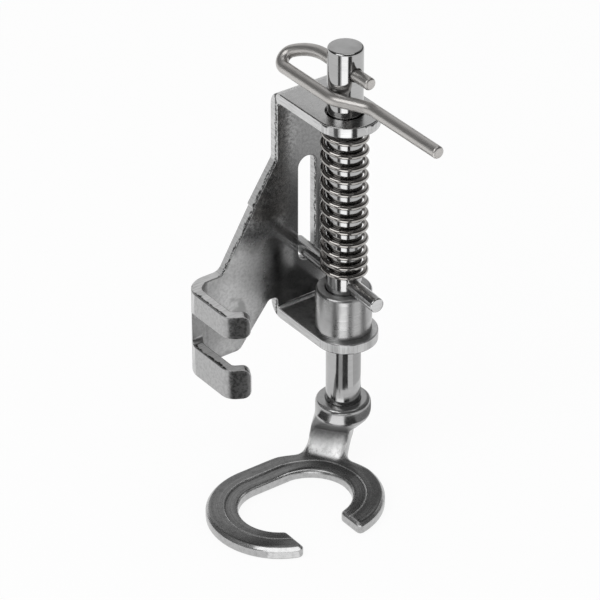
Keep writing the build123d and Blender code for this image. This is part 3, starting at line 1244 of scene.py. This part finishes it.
@dataclass
class RingFoot:
    """The cast foot. Its edges are softened all over, and more at its neck, its boss and their corners."""

    grid: float = 0.12 * MM
    pass_factor: float = 0.5
    edge_passes: int = 5
    neck_passes: int = 36
    ring_radius: float = 10.45 * MM
    ring_straight: float = 5.4 * MM
    ring_top: float = 1.9 * MM
    land_radius: float = 7.85 * MM
    neck_turn: float = 36.3
    neck_ease: float = 1.2 * MM
    crest: float = 5.2 * MM
    boss_height: float = 2.6 * MM
    boss_ease: float = 0.9 * MM
    rim_passes: int = 70
    rim_depth: float = 1.6 * MM
    rim_wall: float = 0.6 * MM
    root_passes: int = 160
    root_depth: float = 2.7 * MM
    root_reach: float = 1.3 * MM
    fillet_passes: int = 360
    fillet_height: float = 2.0 * MM
    fillet_reach: float = 7.0 * MM
    fillet_ease: float = 3.2 * MM
    neck_left: float = 2.97 * MM
    layer_core: float = 1.5
    steps: int = 8
    rod: PlungerRod = field(default_factory=PlungerRod)
    lower: Vector = field(default_factory=lambda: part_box("foot")[0])
    upper: Vector = field(default_factory=lambda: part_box("foot")[1])

    def soften(self, piece: bpy.types.Object, passes: int, group: str = "") -> None:
        """Smooth the casting's skin.

        Args:
            piece: the foot.
            passes: number of smoothing passes.
            group: vertices to smooth, or all of them.
        """
        soft = piece.modifiers.new("soft", "SMOOTH")
        soft.factor = self.pass_factor
        soft.iterations = passes
        soft.vertex_group = group
        settle(piece)

    def neck_share(self, point: Vector) -> float:
        """How much a point belongs to the neck, between the ring and the boss.

        Args:
            point: a point of the skin.

        Returns:
            0 to 1, or beyond.
        """
        above = (point.z - self.lower.z - self.ring_top) / self.neck_ease
        below = (self.upper.z - self.boss_height - point.z) / self.boss_ease
        return min(above, below)

    def rim_share(self, point: Vector) -> float:
        """How much a point belongs to the boss's upper rim, away from the rod.

        Args:
            point: a point of the skin.

        Returns:
            0 to 1, or beyond.
        """
        axis = self.rod.axis_at(0)
        above = (point.z - self.upper.z + self.rim_depth) / self.rim_wall
        outside = ((point.xy - axis.xy).length - self.rod.upper.x + axis.x) / self.rim_wall - 1
        return min(above, outside)

    def layer_share(self, off_level: float, reach: float) -> float:
        """How far a point belongs to a layer, by its height over the layer's middle and the reach."""
        return self.layer_core - self.layer_core * abs(off_level) / reach

    def root_share(self, point: Vector) -> float:
        """How much a point belongs to the boss's root, where it flows into the neck.

        Args:
            point: a point of the skin.

        Returns:
            1 at the root, less away from it, and below 0 out of its reach.
        """
        return self.layer_share(point.z - self.upper.z + self.root_depth, self.root_reach)

    def fillet_share(self, point: Vector) -> float:
        """How much a point belongs to the fillet at the neck's foot, where it spreads onto the ring.

        Args:
            point: a point of the skin.

        Returns:
            1 in the corner, less away from it, and below 0 out of its reach.
        """
        level = self.layer_share(point.z - self.lower.z - self.ring_top, self.fillet_height)
        middle = self.rod.axis_at(0).xy - Vector((self.neck_left, 0))
        near = (self.fillet_reach - (point.xy - middle).length) / self.fillet_ease
        return min(level, near)

    def mark(self, piece: bpy.types.Object, name: str, share: Callable[[Vector], float]) -> str:
        """Mark vertices by a share, in steps.

        Args:
            piece: the foot.
            name: the vertex group's name.
            share: how much a point belongs to it.

        Returns:
            Name of the vertex group.
        """
        group = piece.vertex_groups.new(name=name)
        bands: dict[int, list[int]] = {}
        for vertex in piece.data.vertices:
            held = min(1.0, max(0.0, share(vertex.co)))
            bands.setdefault(round(held * self.steps), []).append(vertex.index)
        for band, members in bands.items():
            group.add(members, band / self.steps, "REPLACE")
        return group.name

    def keep_inside(self, piece: bpy.types.Object) -> None:
        """Hold the skin within the casting's own box.

        Args:
            piece: the foot.
        """
        for vertex in piece.data.vertices:
            vertex.co = [min(max(at, low), high) for at, low, high in zip(vertex.co, self.lower, self.upper)]

    def skin(self) -> CastNickel:
        """The plating, with its zones and its painted light and shade placed on the casting.

        Returns:
            The finish.
        """
        return CastNickel(
            "cast_nickel", light=0.46, dark=0.26, smooth=0.24, dull=0.28,
            ring_x=self.lower.x + self.ring_radius + self.ring_straight / 2,
            ring_y=self.lower.y + self.ring_radius,
            ring_straight=self.ring_straight,
            land_edge=self.land_radius,
            neck_from=self.lower.z + self.ring_top,
            neck_to=self.lower.z + self.crest,
            neck_turn=self.neck_turn,
            boss_from=self.upper.z - self.boss_height,
        )

    def make(self) -> bpy.types.Object:
        """Soften a copy of the casting, dress and mount it.

        Returns:
            The foot.
        """
        work = merged_copy("foot")
        bmesh.ops.triangulate(work, faces=work.faces)
        piece = link("foot_cast", mesh_from(work, "foot_cast"))
        skin = piece.modifiers.new("skin", "REMESH")
        skin.mode = "VOXEL"
        skin.voxel_size = self.grid
        skin.use_smooth_shade = True
        settle(piece)
        self.soften(piece, self.edge_passes)
        self.soften(piece, self.neck_passes, self.mark(piece, "neck", self.neck_share))
        self.soften(piece, self.rim_passes, self.mark(piece, "rim", self.rim_share))
        self.soften(piece, self.root_passes, self.mark(piece, "root", self.root_share))
        self.soften(piece, self.fillet_passes, self.mark(piece, "fillet", self.fillet_share))
        piece.vertex_groups.clear()
        self.keep_inside(piece)
        piece.data.materials.clear()
        piece.data.materials.append(self.skin().material())
        return mount(piece, "foot", Body.PLUNGER)


class PathTree:
    """A geometry node tree that turns a path into round wire."""

    def __init__(self, name: str) -> None:
        """Start an empty tree with its output."""
        self.tree = bpy.data.node_groups.new(name, "GeometryNodeTree")
        self.tree.interface.new_socket("Geometry", in_out="OUTPUT", socket_type="NodeSocketGeometry")
        self.sockets: dict[str, str] = {}
        self.group = add_node(self.tree, "NodeGroupInput", None, None)

    def size(self, name: str, kind: str = "NodeSocketFloat") -> bpy.types.NodeSocket:
        """Add a named input.

        Args:
            name: the input's name.
            kind: its socket type.

        Returns:
            The input, to link from.
        """
        made = self.tree.interface.new_socket(name, in_out="INPUT", socket_type=kind)
        self.sockets[name] = made.identifier
        return next(socket for socket in self.group.outputs if socket.identifier == made.identifier)

    def add(
        self,
        kind: str,
        settings: dict[str, Any] | None = None,
        inputs: dict[Any, Any] | None = None,
        out: Any = 0,
    ) -> bpy.types.NodeSocket:
        """Add a node.

        Args:
            kind: the node's type.
            settings: its properties, set first.
            inputs: values or links by socket name or number.
            out: the output that is handed back.

        Returns:
            The chosen output.
        """
        return add_node(self.tree, kind, settings, inputs).outputs[out]

    def maths(self, operation: str, first: Any, second: Any = 0.0) -> bpy.types.NodeSocket:
        """One Math node's result."""
        return self.add("ShaderNodeMath", {"operation": operation}, {0: first, 1: second})

    def wire(
        self,
        path: bpy.types.NodeSocket,
        radius: bpy.types.NodeSocket,
        finish: Finish,
        sides: int,
    ) -> None:
        """Sweep a round section along a path, mark its length and girth, and end the tree.

        Args:
            path: the curve.
            radius: the wire's radius.
            finish: what it is finished in.
            sides: steps round the wire.
        """
        along = self.add("GeometryNodeSplineParameter", out="Length")
        store = {"data_type": "FLOAT", "domain": "POINT"}
        measured = {"Geometry": path, "Name": LENGTH, "Value": along}
        path = self.add("GeometryNodeStoreNamedAttribute", store, measured)
        section = self.add("GeometryNodeCurvePrimitiveCircle", inputs={"Resolution": sides, "Radius": radius})
        turn = self.add("GeometryNodeSplineParameter", out="Factor")
        fold = self.maths("PINGPONG", self.maths("MULTIPLY", turn, 2.0), 1.0)
        girth = {"Geometry": section, "Name": GIRTH, "Value": fold}
        section = self.add("GeometryNodeStoreNamedAttribute", store, girth)
        sweep = {"Curve": path, "Profile Curve": section, "Fill Caps": True}
        swept = self.add("GeometryNodeCurveToMesh", inputs=sweep)
        real = self.add("GeometryNodeRealizeInstances", inputs={"Geometry": swept})
        done = self.add("GeometryNodeSetMaterial", inputs={"Geometry": real, "Material": finish.material()})
        add_node(self.tree, "NodeGroupOutput", None, {0: done})

    def run(self, carrier: bpy.types.Object, values: dict[str, float]) -> None:
        """Put the tree on an object and set its inputs.

        Args:
            carrier: the object that gets the modifier.
            values: input values by name.
        """
        modifier = carrier.modifiers.new(self.tree.name, "NODES")
        modifier.node_group = self.tree
        for name, value in values.items():
            modifier[self.sockets[name]] = value


def wire_mesh(carrier: bpy.types.Object, name: str, end_round: float, steps: int = 4) -> bpy.types.Object:
    """Turn a carrier's evaluated wire into a plain mesh with rounded ends.

    Args:
        carrier: the object with the node tree, which is removed.
        name: name of the new piece.
        end_round: radius at the wire's cut ends.
        steps: steps of that round.

    Returns:
        The wire.
    """
    graph = bpy.context.evaluated_depsgraph_get()
    mesh = bpy.data.meshes.new_from_object(carrier.evaluated_get(graph))
    bpy.data.objects.remove(carrier)
    work = bmesh.new()
    work.from_mesh(mesh)
    ends = [face for face in work.faces if len(face.verts) > 4]
    rims = list({edge for face in ends for edge in face.edges})
    bmesh.ops.bevel(work, geom=rims, offset=end_round, offset_type="OFFSET", segments=steps, profile=0.5,
                    affect="EDGES", clamp_overlap=True)
    work.to_mesh(mesh)
    work.free()
    mesh.polygons.foreach_set("use_smooth", [True] * len(mesh.polygons))
    mesh.name = name
    return link(name, mesh)


@dataclass
class ReturnSpring:
    """The compression spring: an even helix whose lowest turns close up on the pin."""

    wire: float = 0.75 * MM
    turns: float = 12.1
    steps_per_turn: int = 48
    sides: int = 20
    closing: float = 0.16
    closed_pitch: float = 0.74
    seat_gap: float = 0.05 * MM
    end_round: float = 0.12 * MM
    lower: Vector = field(default_factory=lambda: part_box("return_spring")[0])
    upper: Vector = field(default_factory=lambda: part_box("return_spring")[1])

    def tree(self) -> PathTree:
        """The spring's rule: a spiral whose height is eased near its foot.

        Returns:
            The node tree with its named inputs.
        """
        rule = PathTree("spring_coil")
        radius = rule.size("Coil Radius")
        wire = rule.size("Wire Radius")
        height = rule.size("Height")
        turns = rule.size("Turns")
        closing = rule.size("Closing Share")
        slack = rule.size("Closed Pitch")
        inputs = {
            "Resolution": self.steps_per_turn,
            "Rotations": turns,
            "Start Radius": radius,
            "End Radius": radius,
            "Height": height,
        }
        coil = rule.add("GeometryNodeCurveSpiral", inputs=inputs)
        along = rule.add("GeometryNodeSplineParameter", out="Factor")
        below = rule.maths("MAXIMUM", rule.maths("SUBTRACT", closing, along), 0.0)
        lost = rule.maths("MULTIPLY", closing, rule.maths("SUBTRACT", 1.0, slack))
        eased = rule.maths("ADD", along, rule.maths("MULTIPLY", below, rule.maths("SUBTRACT", 1.0, slack)))
        span = rule.maths("SUBTRACT", 1.0, lost)
        share = rule.maths("DIVIDE", rule.maths("SUBTRACT", eased, lost), span)
        place = rule.add("GeometryNodeInputPosition")
        x = rule.add("ShaderNodeSeparateXYZ", inputs={0: place}, out=Axis.X.value)
        y = rule.add("ShaderNodeSeparateXYZ", inputs={0: place}, out=Axis.Y.value)
        values = {0: x, 1: y, 2: rule.maths("MULTIPLY", share, height)}
        moved = rule.add("ShaderNodeCombineXYZ", inputs=values)
        path = rule.add("GeometryNodeSetPosition", inputs={"Geometry": coil, "Position": moved})
        rule.wire(path, wire, SPRING_STEEL, self.sides)
        return rule

    def make(self) -> bpy.types.Object:
        """Coil the spring and place it round the rod.

        Returns:
            The spring.
        """
        middle = (self.lower + self.upper) / 2
        low = self.lower.z + self.wire / 2
        high = self.upper.z - self.wire / 2
        carrier = link("coil_carrier", bpy.data.meshes.new("coil_carrier"))
        values = {
            "Coil Radius": (self.upper.x - self.lower.x) / 2 - self.wire / 2,
            "Wire Radius": self.wire / 2,
            "Height": high - low,
            "Turns": self.turns,
            "Closing Share": self.closing,
            "Closed Pitch": self.closed_pitch,
        }
        self.tree().run(carrier, values)
        piece = wire_mesh(carrier, "spring_coiled", self.end_round)
        piece.data.transform(Matrix.Translation((middle.x, middle.y, low)))
        mount(piece, "return_spring", Body.BRACKET)
        slide = next(joint for joint in frame["joints"] if joint["name"] == "plunger_slide")
        seat = self.upper.z + self.seat_gap
        length = seat - self.lower.z
        (length - slide["range_m"][1]) / length
        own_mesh(piece)
        return piece


@dataclass
class LifterWire:
    """The bent wire clip: a leg through the rod, a loop behind it, a leg beside it and the long arm."""

    grip_gap: float = 0.05 * MM
    loop_start: float = 4.5 * MM
    wide_bend: float = 8.9 * MM
    tight_bend: float = 1.4 * MM
    jog_start: float = 1.9 * MM
    jog_length: float = 4.9 * MM
    arm_side: float = 0.8 * MM
    jog_bend: float = 3.5 * MM
    stub: float = 5.7 * MM
    end_round: float = 0.3 * MM
    step: float = 0.12 * MM
    least_steps: int = 6
    sides: int = 40
    lower: Vector = field(default_factory=lambda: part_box("lifter_wire")[0])
    upper: Vector = field(default_factory=lambda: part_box("lifter_wire")[1])

    @property
    def radius(self) -> float:
        """Half the wire's thickness. The leg through the rod is the wire's outermost run to the right."""
        return self.upper.x - PlungerRod().axis_at(0).x

    @property
    def leg_height(self) -> float:
        """Height of the leg that goes through the rod."""
        return self.upper.z - self.radius

    @property
    def leg_drop(self) -> float:
        """How far the second leg lies below the first."""
        return self.upper.z - self.lower.z - 2 * self.radius

    def arc(self, start: Vector, heading: Vector, inward: Vector, radius: float, turn: float) -> list[Vector]:
        """Points of a bend, from its start to its end.

        Args:
            start: where the bend begins.
            heading: direction there.
            inward: direction of the bend's centre.
            radius: of the bend.
            turn: angle of the bend, in radians.

        Returns:
            The points after the start.
        """
        centre = start + inward * radius
        count = max(self.least_steps, int(radius * turn / self.step))
        turns = [turn * number / count for number in range(1, count + 1)]
        return [centre - inward * radius * cos(t) + heading * radius * sin(t) for t in turns]

    def corner(self, before: Vector, at: Vector, after: Vector) -> list[Vector]:
        """Points of a rounded corner of the arm.

        Args:
            before: the corner before it.
            at: the corner.
            after: the corner after it.

        Returns:
            The points, first and last on the straight runs.
        """
        heading = (at - before).normalized()
        leaving = (after - at).normalized()
        turn = heading.angle(leaving)
        set_back = self.jog_bend * sin(turn / 2) / cos(turn / 2)
        start = at - heading * set_back
        inward = (leaving - heading * heading.dot(leaving)).normalized()
        return [start, *self.arc(start, heading, inward, self.jog_bend, turn)]

    def path(self) -> list[Vector]:
        """The wire's middle line, from the stub to the arm's end.

        Returns:
            Points along it.
        """
        rod = PlungerRod().axis_at(self.leg_height)
        leg_x = PlungerRod().upper.x - rod.x + self.radius + self.grip_gap
        spread = Vector((-leg_x, 0, -self.leg_drop))
        down = spread.normalized()
        back = Vector((0, 1, 0))
        share = (spread.length - 2 * self.tight_bend) / (self.wide_bend - self.tight_bend)
        wide_turn = acos(1 - share)
        points = [rod - back * self.stub, rod + back * self.loop_start]
        points += self.arc(points[-1], back, down, self.wide_bend, wide_turn)
        heading = back * cos(wide_turn) + down * sin(wide_turn)
        inward = down * cos(wide_turn) - back * sin(wide_turn)
        points += self.arc(points[-1], heading, inward, self.tight_bend, pi - wide_turn)
        level = rod + Vector((0, 0, -self.leg_drop))
        first = level + Vector((-leg_x, -self.jog_start, 0))
        second = level + Vector((-self.arm_side, -self.jog_start - self.jog_length, 0))
        end = Vector((second.x, self.lower.y, level.z))
        return [*points, *self.corner(points[-1], first, second), *self.corner(first, second, end), end]

    def make(self) -> bpy.types.Object:
        """Bend the wire, dress and mount it.

        Returns:
            The wire.
        """
        rule = PathTree("clip_wire_sweep")
        carrier_path = rule.size("Path", "NodeSocketGeometry")
        rule.wire(carrier_path, rule.size("Wire Radius"), CLIP_NICKEL, self.sides)
        curve = bpy.data.curves.new("clip_path", "CURVE")
        curve.dimensions = "3D"
        points = self.path()
        spline = curve.splines.new("POLY")
        spline.points.add(len(points) - 1)
        for target, point in zip(spline.points, points):
            target.co = (*point, 1.0)
        carrier = bpy.data.objects.new("clip_carrier", curve)
        bpy.context.scene.collection.objects.link(carrier)
        rule.run(carrier, {"Wire Radius": self.radius})
        piece = wire_mesh(carrier, "lifter_bent", self.end_round)
        return mount(piece, "lifter_wire", Body.PLUNGER)


@dataclass(frozen=True)
class Lamp:
    """A soft square lamp that faces the object, placed by degrees from the camera."""

    name: str
    turn: float
    rise: float
    reach: float
    side: float
    glow: float


@dataclass(frozen=True)
class Fan:
    """A level card for reflections: a sector round an upright axis, from a near to a far edge."""

    name: str
    turns: Span
    reach_mm: Span
    glow: float


@dataclass(frozen=True)
class Flag:
    """An upright card for reflections in front of the object, or behind it if its reach is negative."""

    name: str
    reach_mm: float
    across_mm: Span
    rise_mm: Span
    glow: float


LAMPS = (
    Lamp("key_lamp", turn=-46, rise=46, reach=0.5, side=0.34, glow=2.2),
    Lamp("top_lamp", turn=120, rise=80, reach=0.7, side=0.4, glow=1.1),
)
ROD_FANS = (
    Fan("bright_panel", turns=(-23, 13), reach_mm=(26, 400), glow=2.0),
    Fan("left_flag", turns=(-46, -30), reach_mm=(26, 400), glow=0.12),
    Fan("right_flag", turns=(16, 33), reach_mm=(26, 400), glow=0.05),
    Fan("near_panel", turns=(-29, -5), reach_mm=(11, 26), glow=0.55),
    Fan("plate_flag", turns=(70, 94), reach_mm=(20.5, 54), glow=0.12),
    Fan("near_left_flag", turns=(-45, -29), reach_mm=(11, 26), glow=0.06),
    Fan("near_right_flag", turns=(-5, 27), reach_mm=(11, 26), glow=0.06),
    Fan("near_side_panel", turns=(60, 160), reach_mm=(11, 20.5), glow=0.7),
    Fan("boss_panel", turns=(-34, 2), reach_mm=(4.2, 8.5), glow=1.7),
    Fan("boss_left_flag", turns=(-76, -42), reach_mm=(4.2, 8.5), glow=0.02),
    Fan("boss_right_flag", turns=(5, 34), reach_mm=(4.2, 8.5), glow=0.0),
    Fan("boss_side_flag", turns=(34, 175), reach_mm=(4.2, 8.5), glow=0.25),
)
TOE_FAN = Fan("toe_glint", turns=(-9, 17), reach_mm=(10.55, 14), glow=1.5)
FLAGS = (
    Flag("fork_flag", reach_mm=22, across_mm=(-18, -7.5), rise_mm=(9, 29), glow=0.04),
    Flag("rear_panel", reach_mm=-600, across_mm=(-700, 130), rise_mm=(150, 800), glow=0.75),
    Flag("rear_right_flag", reach_mm=-600, across_mm=(130, 700), rise_mm=(150, 800), glow=0.2),
)


@dataclass
class Studio:
    """The floor, the lamps, the cards that the metal reflects, and the camera."""

    azimuth: float = -36.11
    elevation: float = 32.26
    distance: float = 522.7 * MM
    lens: float = 224.23
    aim_below_rod: float = 40.28 * MM
    aim_left_of_rod: float = 6.12 * MM
    lamps_below_rod: float = 30 * MM
    clip_start: float = 10 * MM
    floor_radius: float = 1.5
    floor_sides: int = 128
    floor_tone: float = 0.86
    floor_lift: float = 0.92
    fill: float = 0.65
    fan_height: float = 8 * MM
    toe_height: float = 0.3 * MM
    ceiling_radius: float = 1.2
    ceiling_from: float = 4.0
    ceiling_glow: float = 0.06
    ceiling_sides: int = 48

    def sight(self, turn: float, rise: float) -> Vector:
        """A direction from the object, counted from the camera.

        Args:
            turn: degrees to the camera's right.
            rise: degrees above the level.

        Returns:
            The direction, of length 1.
        """
        angle = radians(self.azimuth + turn)
        level = cos(radians(rise))
        return Vector((sin(angle) * level, -cos(angle) * level, sin(radians(rise))))

    def rod_point(self, below: float) -> Vector:
        """A point on the rod's axis, at a distance below its top."""
        rod = PlungerRod()
        return rod.axis_at(rod.upper.z - below)

    def camera(self) -> None:
        """Place the camera at the photo's angle."""
        data = bpy.data.cameras.new("camera")
        data.lens = self.lens
        data.clip_start = self.clip_start
        made = bpy.data.objects.new("camera", data)
        bpy.context.scene.collection.objects.link(made)
        right = self.sight(90, 0)
        aim = self.rod_point(self.aim_below_rod) - right * self.aim_left_of_rod
        back = self.sight(0, self.elevation)
        made.location = aim + back * self.distance
        made.rotation_euler = back.to_track_quat("Z", "Y").to_euler()
        bpy.context.scene.camera = made

    @staticmethod
    def seen(tree: ShaderTree) -> Sock:
        """Where the eye looks at a surface, straight or by way of metal or glass.

        Args:
            tree: the material's or the world's tree.

        Returns:
            1 for such a ray, 0 for the light that falls on the object.
        """
        kinds = ("Camera", "Glossy", "Transmission")
        straight, glossy, through = (tree.add("ShaderNodeLightPath", out=f"Is {kind} Ray") for kind in kinds)
        return straight.most(glossy).most(through)

    def floor(self) -> None:
        """Lay the pale floor under the foot."""
        work = bmesh.new()
        bmesh.ops.create_circle(work, cap_ends=True, segments=self.floor_sides, radius=self.floor_radius)
        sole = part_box("foot")[0].z
        bmesh.ops.translate(work, verts=work.verts, vec=(0, 0, sole))
        piece = link("floor", mesh_from(work, "floor"))
        made = bpy.data.materials.new("pale_floor")
        made.use_nodes = True
        tree = ShaderTree(made.node_tree)
        matt = tree.add("ShaderNodeBsdfDiffuse", inputs={"Color": tone(self.floor_tone)})
        white = tree.add("ShaderNodeEmission", inputs={"Color": tone(1.0), "Strength": 1.0})
        lift = self.seen(tree) * self.floor_lift
        mixed = tree.add("ShaderNodeMixShader", inputs={0: lift, 1: matt, 2: white})
        tree.end("ShaderNodeOutputMaterial", mixed)
        piece.data.materials.append(made)

    def world(self) -> None:
        """A white backdrop that lights the object softly."""
        made = bpy.data.worlds.new("backdrop")
        made.use_nodes = True
        tree = ShaderTree(made.node_tree)
        strength = self.seen(tree).ease(0.0, 1.0, self.fill, 1.0)
        white = tree.add("ShaderNodeBackground", inputs={"Color": tone(1.0), "Strength": strength})
        tree.end("ShaderNodeOutputWorld", white)
        bpy.context.scene.world = made

    def lamp(self, lamp: Lamp) -> None:
        """Hang a lamp.

        Args:
            lamp: where it hangs, its size and its brightness.
        """
        data = bpy.data.lights.new(lamp.name, "AREA")
        data.shape = "SQUARE"
        data.size = lamp.side
        data.energy = lamp.glow * pi * lamp.side ** 2
        made = bpy.data.objects.new(lamp.name, data)
        bpy.context.scene.collection.objects.link(made)
        way = self.sight(lamp.turn, lamp.rise)
        made.location = self.rod_point(self.lamps_below_rod) + way * lamp.reach
        made.rotation_euler = way.to_track_quat("Z", "Y").to_euler()

    def ceiling(self, steps: int = 12) -> None:
        """Arch a dim ceiling over the object, for reflections only.

        Args:
            steps: steps of the arch.
        """
        low = self.ceiling_from
        rises = [radians(low + (90 - low) * step / steps) for step in range(steps)]
        profile = [(self.ceiling_radius * cos(rise), self.ceiling_radius * sin(rise)) for rise in rises]
        work = lathe([*profile, (0, self.ceiling_radius)], self.rod_point(0), self.ceiling_sides)
        self.screen("dim_ceiling", work, self.ceiling_glow)

    def card(self, name: str, corners: list[Vector], glow: float) -> None:
        """Stand a flat card for reflections.

        Args:
            name: the card's name.
            corners: its outline.
            glow: its brightness.
        """
        work = bmesh.new()
        work.faces.new([work.verts.new(corner) for corner in corners])
        self.screen(name, work, glow)

    def screen(self, name: str, work: bmesh.types.BMesh, glow: float) -> None:
        """Light a screen evenly and let only the metal's reflections show it.

        Args:
            name: the screen's name.
            work: its shape, which is freed.
            glow: its brightness.
        """
        piece = link(name, mesh_from(work, name))
        made = bpy.data.materials.new(name)
        made.use_nodes = True
        tree = ShaderTree(made.node_tree)
        shine = tree.add("ShaderNodeEmission", inputs={"Color": tone(1.0), "Strength": glow})
        tree.end("ShaderNodeOutputMaterial", shine)
        piece.data.materials.append(made)
        piece.visible_camera = False
        piece.visible_diffuse = False
        piece.visible_shadow = False
        piece.visible_transmission = False

    def fan(self, fan: Fan, centre: Vector, steps: int = 8) -> None:
        """Hold a level card round a point.

        Args:
            fan: the card.
            centre: the point.
            steps: steps of its curved edges.
        """
        left, right = fan.turns
        near, far = (reach * MM for reach in fan.reach_mm)
        spread = [left + (right - left) * step / steps for step in range(steps + 1)]
        inner = [centre + self.sight(turn, 0) * near for turn in spread]
        outer = [centre + self.sight(turn, 0) * far for turn in reversed(spread)]
        self.card(fan.name, inner + outer, fan.glow)

    def flag(self, flag: Flag) -> None:
        """Stand an upright card in front of the object or behind it.

        Args:
            flag: the card.
        """
        low, high = (rise * MM for rise in flag.rise_mm)
        middle = self.over_floor(low) + self.sight(0, 0) * flag.reach_mm * MM
        left, right = (middle + self.sight(90, 0) * side * MM for side in flag.across_mm)
        up = Vector((0, 0, high - low))
        self.card(flag.name, [left, right, right + up, left + up], flag.glow)

    def over_floor(self, height: float) -> Vector:
        """The point on the rod's axis at a height over the floor."""
        return PlungerRod().axis_at(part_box("foot")[0].z + height)

    def make(self) -> None:
        """Set up the whole studio."""
        self.camera()
        self.floor()
        self.world()
        self.ceiling()
        for lamp in LAMPS:
            self.lamp(lamp)
        for fan in ROD_FANS:
            self.fan(fan, self.over_floor(self.fan_height))
        foot = RingFoot()
        left_end = foot.lower + Vector((foot.ring_radius, foot.ring_radius, self.toe_height))
        self.fan(TOE_FAN, left_end)
        for flag in FLAGS:
            self.flag(flag)


def main() -> None:
    """Build the presser foot and its studio."""
    logging.basicConfig(level=logging.INFO, format="%(message)s")
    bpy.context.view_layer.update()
    builders: list[Callable[[], Any]] = [
        SheetBracket().make,
        PlungerRod().make,
        CrossPin().make,
        GuideBush().make,
        RingFoot().make,
        ReturnSpring().make,
        LifterWire().make,
    ]
    for build in builders:
        build()
    Studio().make()
    bpy.context.scene.view_settings.view_transform = "Standard"


if __name__ == "__main__":
    main()
